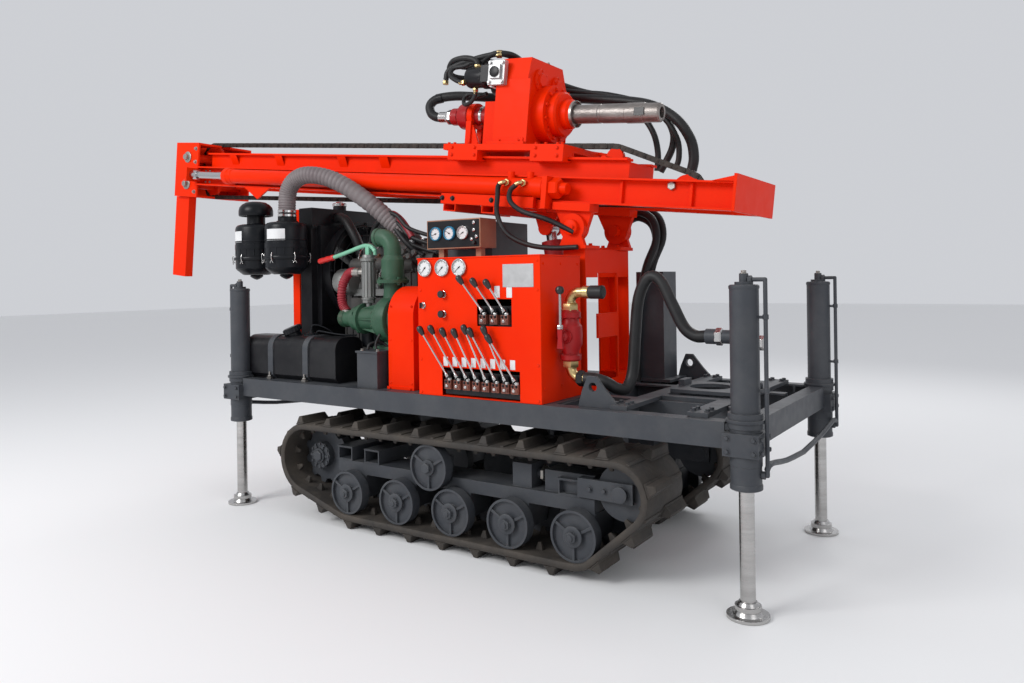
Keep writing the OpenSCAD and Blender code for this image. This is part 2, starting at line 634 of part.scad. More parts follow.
gauge_d = 67;
panel_gauges = [[-15, 1150], [56, 1150], [128, 1150]];
module gauges() at_origin() color(chrome) {
  for (g = panel_gauges) bar_y([g[0], cabinet_y[0] - 11, g[1]], 11 - seat, gauge_d);
  for (z = [1015, 1080]) bar_y([60, cabinet_y[0] - 22, z], 22 - seat, 30);
  bar_y([-15, cabinet_y[0] - 18, 1050], 18 - seat, 28);
}

module instrument_box() at_origin() color([0.62, 0.44, 0.33]) translate([-56, -300, 1262]) {
  block([-150, 150], [-30, 90], [0, 130]);
  block([-120, -90], [10, 40], [-47 + seat, 1]);
  block([90, 120], [10, 40], [-47 + seat, 1]);
}

// Ball valve beside the cabinet, between two brass elbows
valve_at = [cabinet_x[1] + 52, -410];
elbow_d = 40;
elbow_bend = 42;
elbow_z = [806, 1140];
module valve_elbow(z, up) translate([valve_at[0] + elbow_bend, valve_at[1], z - up * elbow_bend])
  rotate([up > 0 ? 90 : -90, 0, 0]) rotate([0, 0, 90]) rotate_extrude(angle = 90)
    translate([elbow_bend, 0]) circle(d = elbow_d);
module water_valve() at_origin() {
  color(brass) {
    valve_elbow(elbow_z[1], 1);
    valve_elbow(elbow_z[0], -1);
    bar_z([valve_at[0], valve_at[1], 1064], elbow_z[1] - elbow_bend - 1064 + 4, 60, $fn = 6);
    bar_z([valve_at[0], valve_at[1], elbow_z[0] + elbow_bend - 4], 40, 60, $fn = 6);
    for (z = elbow_z) bar_x([valve_at[0] + elbow_bend - 4, valve_at[1], z], 52, elbow_d + 8);
  }
  color(dark_red) {
    bar_z([valve_at[0], valve_at[1], 872], 200, 62);
    for (z = [876, 1042]) bar_z([valve_at[0], valve_at[1], z], 20, 84);
    bar_z([valve_at[0], valve_at[1], 925], 90, 92);
    bar_y([valve_at[0], valve_at[1] - 64, 970], 40, 50);
    block([valve_at[0] - 12, valve_at[0] + 12], [valve_at[1] - 76, valve_at[1] - 60], [930, 1010]);
    bar_z([valve_at[0], valve_at[1] - 68, 1009], 140, 12);
    translate([valve_at[0], valve_at[1] - 68, 1150]) sphere(d = 32);
    block([cabinet_x[1] + seat, valve_at[0]], [valve_at[1] - 20, valve_at[1] + 20], [960, 984]);
  }
}

// Mast column and its hinge

column_x = [435, 540];
column_y = 205;
column_top = 1245;
hinge_r = 58;
lug_y = [180, 204];
module column_windows() {
  translate([-97, 970]) square([181, 174]);
  translate([-97, deck_top + 40]) square([181, 184]);
}
module mast_column() at_origin() color(red) {
  difference() {
    union() {
      both_sides() block(column_x, [-column_y, -105], [deck_top + seat, column_top]);
      plate_x(column_x[1] - 10, 10) difference() {
        translate([-column_y, deck_top + seat]) square([2 * column_y, column_top - deck_top - seat]);
        column_windows();
      }
    }
    both_sides() block(column_x + [8, 1], [-column_y + 8, -97], [deck_top + 60, column_top - 120]);
  }
  both_sides() {
    block([column_x[0] - 12, column_x[1] + 14], [-column_y - 20, -100], [column_top, column_top + 14]);
    difference() {
      plate_y(-lug_y[1] - 22, 22 - seat) {
        translate([pivot_x, pivot_z]) circle(hinge_r);
        polygon([[pivot_x - 62, column_top + 13], [pivot_x - 44, pivot_z - 36],
          [pivot_x + 44, pivot_z - 36], [pivot_x + 58, column_top + 13]]);
      }
      bar_y([pivot_x, -300, pivot_z], 200, hinge_pin_d - 1);
    }
    // The hinge pin is fixed in the column's lug
    bar_y([pivot_x, -lug_y[1] - 34, pivot_z], lug_y[1] + 34 - 150, hinge_pin_d);
    bar_y([pivot_x, -lug_y[1] - 34, pivot_z], 12, hinge_pin_d + 16);
    block([column_x[0] - 12, column_x[1] + 14], [-lug_y[1] - 22, -column_y], [column_top, column_top + 14]);
  }
  // Feet on the deck
  both_sides() block([column_x[0] - 30, column_x[1] + 18], [-column_y - 20, -90], [deck_top + seat, deck_top + 14]);
}

module hydraulic_tank() at_origin() color(slate) {
  block([-270, 28], [-150, 150], [760, 1390]);
  bar_z([-200, -60, 1390], 18, 70);
  for (x = [-260, -10]) block([x, x + 26], [-140, 140], [deck_top + seat, 761]);
}

module side_tower() at_origin() color(slate) {
  block([534, 669], [300, 450], [deck_top + 12, 1148]);
  block([500, 705], [280, 480], [deck_top + seat, deck_top + 13]);
}

// Drill floor at the drilling end: fixed cross plates and the hinged clamp plate
floor_t = 16;
clamp_z = deck_top + seat + floor_t + air;
clamp_x = 1150;
clamp_pin_z = clamp_z + 12;
clamp_pin_d = 14;
knuckle_d = 30;
module drill_floor() at_origin() color(slate) {
  for (x = [[800, 868], [1096, 1170]]) block(x, [-rail_in - 20, rail_in + 20], [deck_top + seat, deck_top + seat + floor_t]);
  both_sides() block([860, 1100], [-200, -150], [deck_top + seat, deck_top + seat + floor_t]);
  // Knuckles and pin of the clamp plate's hinge
  bar_y([clamp_x, -132, clamp_pin_z], 264, clamp_pin_d);
  for (y = [-145, -44, 126]) {
    len = y == -44 ? 88 : 19;
    bar_y([clamp_x, y, clamp_pin_z], len, knuckle_d);
    block([clamp_x - 6, clamp_x + 15], [y, y + len], [deck_top + seat + floor_t - 1, clamp_pin_z]);
  }
  // Locks for the mast foot: upright gussets with a pin hole
  both_sides() difference() {
    plate_y(-495, 14) polygon([[660, deck_top + seat], [835, deck_top + seat], [780, 700], [735, 756], [700, 756], [676, 700]]);
    bar_y([722, -500, 716], 30, 34);
  }
}

module floor_clamp() at_origin() color(slate) difference() {
  union() {
    block([880, clamp_x - 22], [-140, 140], [clamp_z, clamp_z + 14]);
    for (s = [-1, 1]) block([clamp_x - 23, clamp_x], [s * 85 - 35, s * 85 + 35], [clamp_z, clamp_z + 14]);
    for (s = [-1, 1]) bar_y([clamp_x, s * 85 - 35, clamp_pin_z], 70, knuckle_d);
    block([875, 900], [-40, 40], [clamp_z + 13, clamp_z + 40]);
  }
  bar_z([deck_hole_x, 0, clamp_z - 1], 50, 2 * drill_hole_r);
  bar_y([clamp_x, -150, clamp_pin_z], 300, clamp_pin_d + 2 * fit);
}

manifold_at = [1210, -300];
module manifold() at_origin() {
  color(slate) {
    bar_z([manifold_at[0], manifold_at[1], deck_top + seat], 430, 46);
    bar_z([manifold_at[0], manifold_at[1], deck_top + seat], 12, 76);
    bar_x([manifold_at[0] - 80, manifold_at[1], 903], 80, 50);
    bar_x([manifold_at[0], manifold_at[1], 885], 74, 42);
  }
  color(brass) bar_x([manifold_at[0] - 118, manifold_at[1], 903], 40, 56);
}

module deck_hoses() at_origin() color(black) {
  // Water hose from the valve's lower elbow along the deck and over to the manifold
  hose([[672.4, -410, 806], [700, -410, 806], [730, -406, 770], [750, -390, 710], [770, -350, 680], [786, -310, 740],
    [796, -294, 880], [812, -286, 1030], [850, -284, 1100], [900, -286, 1090], [950, -291, 1010],
    [1000, -297, 930], [1050, -300, 903], [1091.6, -300, 903]], 45, 10);
}

// Mast cradle and its cylinders

cradle_u = [-709, 78];
feed_y = -215;
feed_w = 160;
feed_u = [-2317, -142];
module cradle() on_mast() color(red) {
  both_sides() {
    block(cradle_u, [-200, -150], [70, beam_low - seat]);
    block([-709, -199], [-228, -205 + 0], [70, 118]);
    block([-709, -199], [-206, -150], [70, 90]);
    block([-101, 78], [-228, -150], [69, beam_low - seat]);
    // Hinge lug with the bore that turns on the pin
    difference() {
      plate_y(-lug_y[1] + seat, lug_y[1] - lug_y[0]) {
        circle(hinge_r);
        polygon([[-hinge_r, 0], [hinge_r, 0], [78, 72], [-101, 72]]);
      }
      bar_y([0, -300, 0], 200, hinge_pin_d + 2 * fit);
    }
  }
  // Open square cross tubes under the beam
  for (u = [-693, -474]) difference() {
    block([u, u + 72], [-226, 226], [36, 74]);
    block([u + 6, u + 66], [-227, 227], [42, 68]);
  }
  // Ears for the lift cylinder's eye
  both_sides() difference() {
    union() {
      plate_y(-lift_ear_y - 14, 14) {
        translate([lift_u, lift_w]) circle(34);
        polygon([[lift_u - 34, lift_w], [lift_u + 34, lift_w], [lift_u + 70, 72], [lift_u - 70, 72]]);
      }
      block([lift_u - 70, lift_u + 70], [-160, -lift_ear_y], [60, 74]);
    }
  }
  // Plate that holds the feed cylinder's end
  difference() {
    block([-142 + seat, -118], [-262, -206], [70, 208]);
    bar_x([-150, feed_y, feed_w], 60, 50 - 2);
  }
  bar_x([-142 + seat, feed_y, feed_w], 80, 48);
  bar_x([-118, feed_y, feed_w], 44, 74, $fn = 6);
}

module feed_cylinder() on_mast() color(red) difference() {
  union() {
    bar_x([feed_u[0], feed_y, feed_w], feed_u[1] - feed_u[0], feed_d);
    bar_x([feed_u[0], feed_y, feed_w], 50, feed_d + 4);
    bar_x([feed_u[1] - 24, feed_y, feed_w], 24, feed_d + 4);
    for (u = [-330, -230]) bar_z([u, feed_y, feed_w + 20], 46, 30);
  }
  bar_x([feed_u[0] - 1, feed_y, feed_w], feed_u[1] - feed_u[0] - 60, feed_rod_d + 2 * fit);
}

// Lift cylinder: foot pin on the deck, eye between the cradle's ears
lift_u = -240;
lift_w = -8;
lift_pin_d = 36;
lift_ear_y = 38;
lift_foot = [345, 760];
lift_eye = [pivot_x + lift_u * cos(mast_tilt) + lift_w * sin(mast_tilt), pivot_z - lift_u * sin(mast_tilt) + lift_w * cos(mast_tilt)];
lift_len = norm(lift_eye - lift_foot);
lift_lean = atan2(lift_eye[0] - lift_foot[0], lift_eye[1] - lift_foot[1]);
lift_d = 90;
lift_rod_d = 50;
lift_barrel_len = 540;
module on_lift() at_origin() translate([lift_foot[0], 0, lift_foot[1]]) rotate([0, lift_lean, 0]) children();
module lift_barrel() on_lift() color(dark_red) difference() {
  union() {
    bar_z([0, 0, 20], lift_barrel_len - 20, lift_d);
    bar_z([0, 0, lift_barrel_len - 30], 30, lift_d + 10);
    bar_y([0, -46, 0], 92, 76);
  }
  bar_z([0, 0, 60], lift_barrel_len, lift_rod_d + 2 * fit);
  bar_y([0, -50, 0], 100, lift_pin_d + 2 * fit);
}
module lift_rod() on_lift() color(chrome) {
  bar_z([0, 0, 80], lift_len - 100, lift_rod_d);
  bar_y([0, -30, lift_len], 60, 60);
}

// Mast

rail_back = 2600;
module channel_outline(w, low, high, t) {
  // Outward channel in the YZ plane: web with two flanges
  translate([-w / 2 + 42, low]) square([8, high - low]);
  translate([-w / 2, low]) square([50, t]);
  translate([-w / 2, high - t]) square([50, t]);
}
module mast_beam() on_mast() color(red) {
  both_sides() plate_x(-beam_back, beam_back + beam_end - 10) channel_outline(beam_w, beam_low, beam_top, flange_t);
  // Cross plates between the channels
  for (u = [-2500, -1900, -1300, -850, 240, 560]) block([u, u + 60], [-152, 152], [beam_top - 40, beam_top]);
  // End plate with its lip
  block([beam_end - 12, beam_end], [-245, 245], [98, 238]);
  both_sides() plate_y(-210, 8) polygon([[beam_end - 110, beam_top - 1], [beam_end - 10, beam_top - 1], [beam_end - 10, 236]]);
  // Upper rail
  both_sides() {
    block([-rail_back, rail_end], [-rail_w / 2 + 30, -rail_w / 2 + 40], [beam_top - 1, rail_top]);
    block([-rail_back, rail_end], [-rail_w / 2, -rail_w / 2 + 60], [rail_top - 10, rail_top]);
  }
  for (u = [-rail_back, -1800, -900, rail_end - 10])
    block([u, u + 10], [-rail_w / 2 + 31, rail_w / 2 - 31], [beam_top - 1, rail_top - 14]);
  // Shafts and wheels of the chain at the low end
  bar_y([low_wheel[X], -152, low_wheel[Z]], 304, 40);
  bar_y([low_wheel[X], -12, low_wheel[Z]], 24, 2 * low_wheel[R] - 2 * seat);
  bar_y([guide_wheel[X], -112, guide_wheel[Z] - 20], 224, 30);
  bar_y([guide_wheel[X], -12, guide_wheel[Z]], 24, 2 * guide_wheel[R] - 2 * seat);
  // Rest horn under the beam
  plate_y(-204, 10) polygon([[-2176, beam_low + 1], [-1953, beam_low + 1], [-2055, 38]]);
}

crown_u = [-2862, -beam_back - seat];
crown_w = [28, 356];
module crown() on_mast() color(red) {
  both_sides() block(crown_u, [-190, -178], crown_w);
  block([crown_u[0], crown_u[0] + 14], [-180, 180], crown_w);
  both_sides() block(crown_u, [-180, -30], [crown_w[1] - 12, crown_w[1]]);
  both_sides() block([crown_u[1] - 14, crown_u[1]], [-180, -100], [beam_low, beam_top]);
  both_sides() block([crown_u[0] + 10, crown_u[1]], [-180, -60], [crown_w[0], crown_w[0] + 12]);
  // Bracket for the feed rod's eye
  block([crown_u[1] - 20, crown_u[1]], [-262, -188], [120, 200]);
  // Shaft of the chain wheel
  for (w = [crown_wheel, return_wheel]) {
    bar_y([w[X], -180, w[Z]], 360, 50);
    bar_y([w[X], -12, w[Z]], 24, 2 * w[R] - 2 * seat);
  }
}

module feed_rod() on_mast() color(chrome) {
  bar_x([crown_u[1] + seat, feed_y, feed_w], feed_u[0] - crown_u[1] + mast_stroke + 150, feed_rod_d);
  bar_x([crown_u[1] + seat, feed_y, feed_w], 60, 62);
}

// The feed chain runs over these wheels: crown, low end, guide at the rail's end
chain_t = 14;
chain_bore = 28;
chain_run = plate_low + carriage_t + air + 2;
crown_wheel = [-2740, chain_run - 90, 90];
return_wheel = [-2740, 106, 60];
low_wheel = [400, 190, 60];
guide_wheel = [62, chain_run - 40, 40];
chain_wheels = [return_wheel, low_wheel, guide_wheel, crown_wheel];
module feed_chain() on_mast() color(black) plate_y(-chain_bore / 2, chain_bore) difference() {
  loop_inside([for (w = chain_wheels) w + [0, 0, chain_t]]);
  loop_inside(chain_wheels);
}

module crown_arm() on_mast() color(red) {
  block([arm_u - 65, arm_u + 65], [-160, -110], [arm_w_low, crown_w[0] - seat]);
}

// Power head

carriage_u = [-742, -742 + carriage_len];
module carriage() on_mast() color(red) {
  block(carriage_u, [-195, 195], [plate_low, plate_low + carriage_t]);
  both_sides() for (u = [[-713, -543], [-256, -89]]) {
    block(u, [-195, -rail_w / 2 - 1], [rail_top - 24, plate_low + 1]);
    block(u, [-rail_w / 2 - 2, -rail_w / 2 + 26], [rail_top - 24, rail_top - 10 - 5]);
    block(u, [-195, -rail_w / 2 + 50], [rail_top + seat, plate_low + 1]);
  }
}

gear_u = [-465, -465 + gear_t];
gear_top = 737;
module gearbox() on_mast() color(red) difference() {
  union() {
    plate_x(gear_u[0], gear_t) polygon([[-gear_w / 2, plate_low + 28 + seat], [gear_w / 2, plate_low + 28 + seat],
      [gear_w / 2, 640], [gear_w / 2 - 50, gear_top], [-gear_w / 2 + 20, gear_top], [-gear_w / 2, 640]]);
    bar_x([gear_u[1] - 1, 0, spindle_w], 66, 260);
    bar_x([gear_u[1] + 60, 0, spindle_w], 40, 200);
    block([gear_u[0] - 130, gear_u[0] + 1], [-90, -60], [plate_low + 28 + seat, 560]);
    block([gear_u[0] - 130, gear_u[0] + 1], [60, 90], [plate_low + 28 + seat, 560]);
  }
  bar_x([gear_u[0] - 1, 0, spindle_w], 400, spindle_d + 26 + 2 * fit);
  // Tunnel for the feed chain
  block([gear_u[0] - 1, gear_u[1] + 1], [-chain_bore, chain_bore], [plate_low, plate_low + carriage_t + 2 * air + chain_t + 16]);
}

module head_motors() on_mast() {
  color(dark_red) {
    bar_x([gear_u[0] - 230, 0, spindle_w], 230 - seat, 84);
    bar_x([gear_u[0] - 170, 0, spindle_w], 40, 112);
    bar_x([gear_u[0] - 40, 0, spindle_w], 40 - seat, 118);
  }
  color(brass) bar_x([gear_u[0] - 290, 0, spindle_w], 61, 60);
  color(slate) for (y = [-90, 90]) {
    block([gear_u[0] - 110, gear_u[0] - seat], [y - 50, y + 50], [620, 720]);
    bar_x([gear_u[0] - 220, y, 670], 112, 92);
  }
}

module head_hoses() on_mast() color(black) {
  hose([[gear_u[0] - 290.5, 0, spindle_w], [gear_u[0] - 330, 0, spindle_w], [gear_u[0] - 390, -16, 530],
    [gear_u[0] - 385, -50, 580], [gear_u[0] - 300, -90, 596], [gear_u[0] - 200, -118, 590], [gear_u[0] - 120, -122, 570]], 42, 10);
}

module spindle() on_mast() color(steel) difference() {
  union() {
    bar_x([gear_u[0] + 6, 0, spindle_w], 250, spindle_d + 26);
    bar_x([-211, 0, spindle_w], 52, 112);
    bar_x([-160, 0, spindle_w], spindle_reach + 160, spindle_d);
  }
  bar_x([gear_u[0], 0, spindle_w], 900, 2 * spindle_bore_r);
}

track_belt();  // track_near
mirror([0, 1, 0]) track_belt();  // track_far
track_frames();
track_rollers();
idlers();
sprockets();
deck_frame();
jack_barrels();
hydraulic_pipes();
jack_foot_back_near();
jack_foot_back_far();
jack_foot_front_near();
jack_foot_front_far();
engine();
radiator();
fan();
fuel_tank();
air_filters();
intake_duct();
rest_post();
water_pump();
hand_primer();
belt_guard();
battery_box();
control_cabinet();
valve_banks();
control_levers();
gauges();
instrument_box();
water_valve();
mast_column();
hydraulic_tank();
side_tower();
drill_floor();
floor_clamp();
manifold();
deck_hoses();
cradle();
feed_cylinder();
lift_barrel();
lift_rod();
mast_beam();
crown();
feed_rod();
feed_chain();
crown_arm();
carriage();
gearbox();
head_motors();
head_hoses();
spindle();
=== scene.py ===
# Looks for the tracked water well rig: camera, light, materials and the detailed pieces.
import json
import math
import random

import bmesh
import bpy
from mathutils import Matrix, Vector


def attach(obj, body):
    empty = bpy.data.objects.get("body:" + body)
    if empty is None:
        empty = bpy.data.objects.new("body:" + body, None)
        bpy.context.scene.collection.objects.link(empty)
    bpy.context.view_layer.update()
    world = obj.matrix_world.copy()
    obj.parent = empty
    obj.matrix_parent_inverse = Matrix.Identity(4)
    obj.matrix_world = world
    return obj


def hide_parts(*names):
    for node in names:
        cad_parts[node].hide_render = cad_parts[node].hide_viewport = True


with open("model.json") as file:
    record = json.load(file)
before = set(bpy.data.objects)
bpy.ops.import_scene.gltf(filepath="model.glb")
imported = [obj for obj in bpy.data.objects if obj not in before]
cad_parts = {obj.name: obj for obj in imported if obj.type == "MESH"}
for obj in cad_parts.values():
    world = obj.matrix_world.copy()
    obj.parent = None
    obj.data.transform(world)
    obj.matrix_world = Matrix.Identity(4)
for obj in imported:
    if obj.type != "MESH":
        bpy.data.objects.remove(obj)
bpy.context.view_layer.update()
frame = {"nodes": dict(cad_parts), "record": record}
nodes = frame["nodes"]
rng = random.Random(7)

# Deck coordinates are millimetres from the middle between the legs, as in the part's source
origin_x = 525.606
tilt = math.radians(6.15)
pivot_x, pivot_z = 490.0, 1335.0


def deck(x, y, z):
    return Vector(((x + origin_x) / 1000, y / 1000, z / 1000))


def mast(u, y, w):
    """Mast coordinates: u along the mast from the hinge, y across, w up from the hinge."""
    return deck(pivot_x + u * math.cos(tilt) + w * math.sin(tilt), y,
                pivot_z - u * math.sin(tilt) + w * math.cos(tilt))


# Camera, solved from the photograph
yaw, roll = 0.5919, -0.0137
look = Vector((-math.sin(yaw), math.cos(yaw), 0))
level = Vector((math.cos(yaw), math.sin(yaw), 0))
up = level.cross(look)
right = math.cos(roll) * level + math.sin(roll) * up
up = -math.sin(roll) * level + math.cos(roll) * up
camera = bpy.data.objects.new("camera", bpy.data.cameras.new("camera"))
camera.data.sensor_width = 36.0
camera.data.lens = 27.857
camera.data.shift_y = -0.0604
camera.data.clip_start, camera.data.clip_end = 0.05, 100.0
at = deck(2122.9, -3106.5, 1120.2)
camera.matrix_world = Matrix((
    (right.x, up.x, -look.x, at.x),
    (right.y, up.y, -look.y, at.y),
    (right.z, up.z, -look.z, at.z),
    (0, 0, 0, 1)))
bpy.context.scene.collection.objects.link(camera)
bpy.context.scene.camera = camera


# Materials

def material(name, base, rough=0.4, metal=0.0, coat=0.0, second=None, patch=3.0, dust=None, dust_amount=0.0,
             grain=0.0, grain_size=250.0, wear=None, edge=0.002, stretch=(1, 1, 1), shine=0.5):
    m = bpy.data.materials.new(name)
    m.use_nodes = True
    t = m.node_tree
    shader = t.nodes["Principled BSDF"]

    def node(kind, **values):
        n = t.nodes.new(kind)
        for k, v in values.items():
            if k in n.inputs:
                n.inputs[k].default_value = v
            else:
                setattr(n, k, v)
        return n

    def link(a, b):
        t.links.new(a, b)

    def mix(factor, a, b):
        n = node("ShaderNodeMix", data_type="RGBA")
        for socket, value in ((n.inputs[0], factor), (n.inputs[6], a), (n.inputs[7], b)):
            if hasattr(value, "links"):
                link(value, socket)
            else:
                socket.default_value = value
        return n.outputs[2]

    def ramp(value, low, high):
        n = node("ShaderNodeMapRange")
        n.inputs[1].default_value, n.inputs[2].default_value = low, high
        link(value, n.inputs[0])
        return n.outputs[0]

    def noise(size, detail=3.0, rough_noise=0.5):
        n = node("ShaderNodeTexNoise", Scale=size, Detail=detail, Roughness=rough_noise)
        link(coords, n.inputs["Vector"])
        return n.outputs[0]

    def times(a, b):
        n = node("ShaderNodeMath", operation="MULTIPLY")
        link(a, n.inputs[0])
        if hasattr(b, "links"):
            link(b, n.inputs[1])
        else:
            n.inputs[1].default_value = b
        return n.outputs[0]

    scaled = node("ShaderNodeMapping", Scale=stretch)
    link(node("ShaderNodeTexCoord").outputs["Object"], scaled.inputs["Vector"])
    coords = scaled.outputs[0]
    first = (*base, 1)
    other = (*(second or [c * 0.78 for c in base]), 1)
    colour = mix(ramp(noise(patch, 5.0, 0.6), 0.35, 0.7), first, other)
    geometry = node("ShaderNodeNewGeometry")
    bevel = node("ShaderNodeBevel", samples=4, Radius=edge)
    roughness = ramp(noise(patch * 9, 4.0), 0.2, 0.8)
    spread = node("ShaderNodeMapRange")
    spread.inputs[3].default_value, spread.inputs[4].default_value = max(rough - 0.06, 0.02), min(rough + 0.08, 1)
    link(roughness, spread.inputs[0])
    rough_out = spread.outputs[0]
    if dust:
        split = node("ShaderNodeSeparateXYZ")
        link(geometry.outputs["Normal"], split.inputs[0])
        upward = ramp(split.outputs[2], -0.6, 1.0)
        mask = times(times(ramp(noise(7.0, 8.0, 0.7), 0.42, 0.72), upward), dust_amount)
        colour = mix(mask, colour, (*dust, 1))
        more = node("ShaderNodeMath", operation="MULTIPLY_ADD")
        link(mask, more.inputs[0])
        more.inputs[1].default_value = 0.4
        link(rough_out, more.inputs[2])
        rough_out = more.outputs[0]
    if wear:
        dot = node("ShaderNodeVectorMath", operation="DOT_PRODUCT")
        link(bevel.outputs[0], dot.inputs[0])
        link(geometry.outputs["Normal"], dot.inputs[1])
        edges = ramp(dot.outputs["Value"], 0.985, 0.93)
        colour = mix(times(edges, ramp(noise(35.0, 6.0, 0.7), 0.46, 0.62)), colour, (*wear, 1))
    link(colour, shader.inputs["Base Color"])
    link(rough_out, shader.inputs["Roughness"])
    shader.inputs["Metallic"].default_value = metal
    shader.inputs["Specular IOR Level"].default_value = shine
    shader.inputs["Coat Weight"].default_value = coat
    shader.inputs["Coat Roughness"].default_value = 0.12
    bump = node("ShaderNodeBump", Strength=max(grain, 0.01), Distance=0.002)
    link(noise(grain_size, 4.0), bump.inputs["Height"])
    link(bevel.outputs[0], bump.inputs["Normal"])
    link(bump.outputs[0], shader.inputs["Normal"])
    m.diffuse_color = first
    return m


GREY_DUST = (0.25, 0.24, 0.22)
MUD = (0.2, 0.165, 0.13)
M = {
    "red_paint": material("red_paint", (0.86, 0.026, 0.0), 0.4, shine=0.07, second=(0.8, 0.02, 0.0), patch=2.0,
                          dust=(0.4, 0.08, 0.04), dust_amount=0.1, grain=0.04, wear=(0.35, 0.05, 0.03)),
    "dark_red_paint": material("dark_red_paint", (0.4, 0.008, 0.01), 0.35, shine=0.3, grain=0.15, grain_size=90,
                               dust=GREY_DUST, dust_amount=0.15, wear=(0.2, 0.05, 0.04)),
    "slate_paint": material("slate_paint", (0.047, 0.052, 0.061), 0.46, shine=0.35, second=(0.038, 0.042, 0.05), patch=2.5,
                            dust=GREY_DUST, dust_amount=0.25, grain=0.12, grain_size=120, wear=(0.16, 0.16, 0.16)),
    "belt_rubber": material("belt_rubber", (0.026, 0.023, 0.021), 0.75, second=(0.045, 0.037, 0.03), patch=6.0,
                            dust=MUD, dust_amount=0.35, grain=0.5, grain_size=160),
    "hose_rubber": material("hose_rubber", (0.008, 0.008, 0.009), 0.45, shine=0.3, second=(0.02, 0.02, 0.021), grain=0.25,
                            grain_size=400, dust=GREY_DUST, dust_amount=0.12),
    "engine_paint": material("engine_paint", (0.03, 0.031, 0.033), 0.5, second=(0.05, 0.045, 0.04), patch=8,
                             grain=0.4, grain_size=120, dust=MUD, dust_amount=0.3),
    "black_paint": material("black_paint", (0.006, 0.006, 0.008), 0.32, shine=0.25, second=(0.011, 0.011, 0.013), patch=3,
                            dust=GREY_DUST, dust_amount=0.1, grain=0.08, grain_size=90, wear=(0.06, 0.06, 0.06)),
    "black_plastic": material("black_plastic", (0.004, 0.005, 0.007), 0.32, shine=0.2, second=(0.009, 0.01, 0.013), grain=0.05,
                              dust=GREY_DUST, dust_amount=0.05),
    "grey_duct": material("grey_duct", (0.2, 0.175, 0.175), 0.55, second=(0.13, 0.1, 0.105), patch=5, grain=0.4,
                          grain_size=300, dust=GREY_DUST, dust_amount=0.4),
    "green_paint": material("green_paint", (0.034, 0.1, 0.056), 0.42, shine=0.25, second=(0.026, 0.072, 0.042), patch=6,
                            grain=0.35, grain_size=80, dust=GREY_DUST, dust_amount=0.25, wear=(0.14, 0.12, 0.09)),
    "grey_casting": material("grey_casting", (0.3, 0.31, 0.3), 0.4, metal=0.6, second=(0.2, 0.2, 0.19), grain=0.3,
                             grain_size=90),
    "bare_steel": material("bare_steel", (0.42, 0.4, 0.37), 0.38, metal=0.9, second=(0.3, 0.28, 0.26), grain=0.2,
                           grain_size=120),
    "bright_steel": material("bright_steel", (0.62, 0.61, 0.6), 0.22, metal=1.0, second=(0.5, 0.49, 0.48), grain=0.03),
    "chrome_rod": material("chrome_rod", (0.6, 0.6, 0.61), 0.17, metal=1.0, second=(0.5, 0.5, 0.5), patch=1.5,
                           grain=0.02, stretch=(1, 1, 14)),
    "jack_steel": material("jack_steel", (0.52, 0.51, 0.5), 0.24, metal=1.0, second=(0.4, 0.39, 0.38), patch=2,
                           grain=0.04, stretch=(1, 1, 20)),
    "chain_steel": material("chain_steel", (0.02, 0.018, 0.016), 0.5, metal=0.2, shine=0.25, second=(0.05, 0.042, 0.035), patch=40,
                            grain=0.2),
    "worn_steel": material("worn_steel", (0.33, 0.3, 0.28), 0.42, metal=0.85, second=(0.17, 0.15, 0.14), patch=9,
                           grain=0.5, grain_size=60, stretch=(1, 2.5, 2.5)),
    "copper_paint": material("copper_paint", (0.4, 0.2, 0.12), 0.36, metal=0.35, second=(0.3, 0.14, 0.09), patch=6,
                             grain=0.1),
    "brass": material("brass", (0.66, 0.5, 0.24), 0.3, metal=1.0, second=(0.5, 0.36, 0.17), patch=20, grain=0.12),
    "mint_paint": material("mint_paint", (0.2, 0.5, 0.33), 0.4, coat=0.2, second=(0.16, 0.42, 0.28), grain=0.1),
    "red_plastic": material("red_plastic", (0.62, 0.025, 0.02), 0.35, second=(0.5, 0.02, 0.018), grain=0.05),
    "hose_red": material("hose_red", (0.34, 0.016, 0.03), 0.45, second=(0.22, 0.012, 0.02), patch=9, grain=0.3,
                         dust=GREY_DUST, dust_amount=0.2),
    "white_plate": material("white_plate", (0.72, 0.72, 0.72), 0.45, second=(0.62, 0.62, 0.63), patch=12, grain=0.03),
    "silver_plate": material("silver_plate", (0.5, 0.5, 0.5), 0.4, metal=0.6, second=(0.42, 0.42, 0.42), patch=30,
                             grain=0.06),
    "black_knob": material("black_knob", (0.012, 0.011, 0.011), 0.32, second=(0.02, 0.018, 0.018), grain=0.03),
    "primer_brown": material("primer_brown", (0.16, 0.045, 0.03), 0.5, second=(0.24, 0.07, 0.04), patch=30, grain=0.3),
    "rust": material("rust", (0.11, 0.05, 0.03), 0.8, second=(0.19, 0.085, 0.04), patch=12, grain=0.6, grain_size=70),
    "fins": material("fins", (0.014, 0.014, 0.015), 0.5, second=(0.03, 0.03, 0.03), patch=1.2, grain=1.0,
                     grain_size=60, stretch=(1, 1, 9)),
}

for name, thing in nodes.items():
    slot = next(p["material_slot"] for p in frame["record"]["subparts"] if p["node"] == name)
    thing.data.materials.clear()
    thing.data.materials.append(M[slot])

# Light and floor
world = bpy.data.worlds.new("studio")
bpy.context.scene.world = world
world.use_nodes = True
world.node_tree.nodes["Background"].inputs[0].default_value = (0.93, 0.95, 1.0, 1)
world.node_tree.nodes["Background"].inputs[1].default_value = 0.66


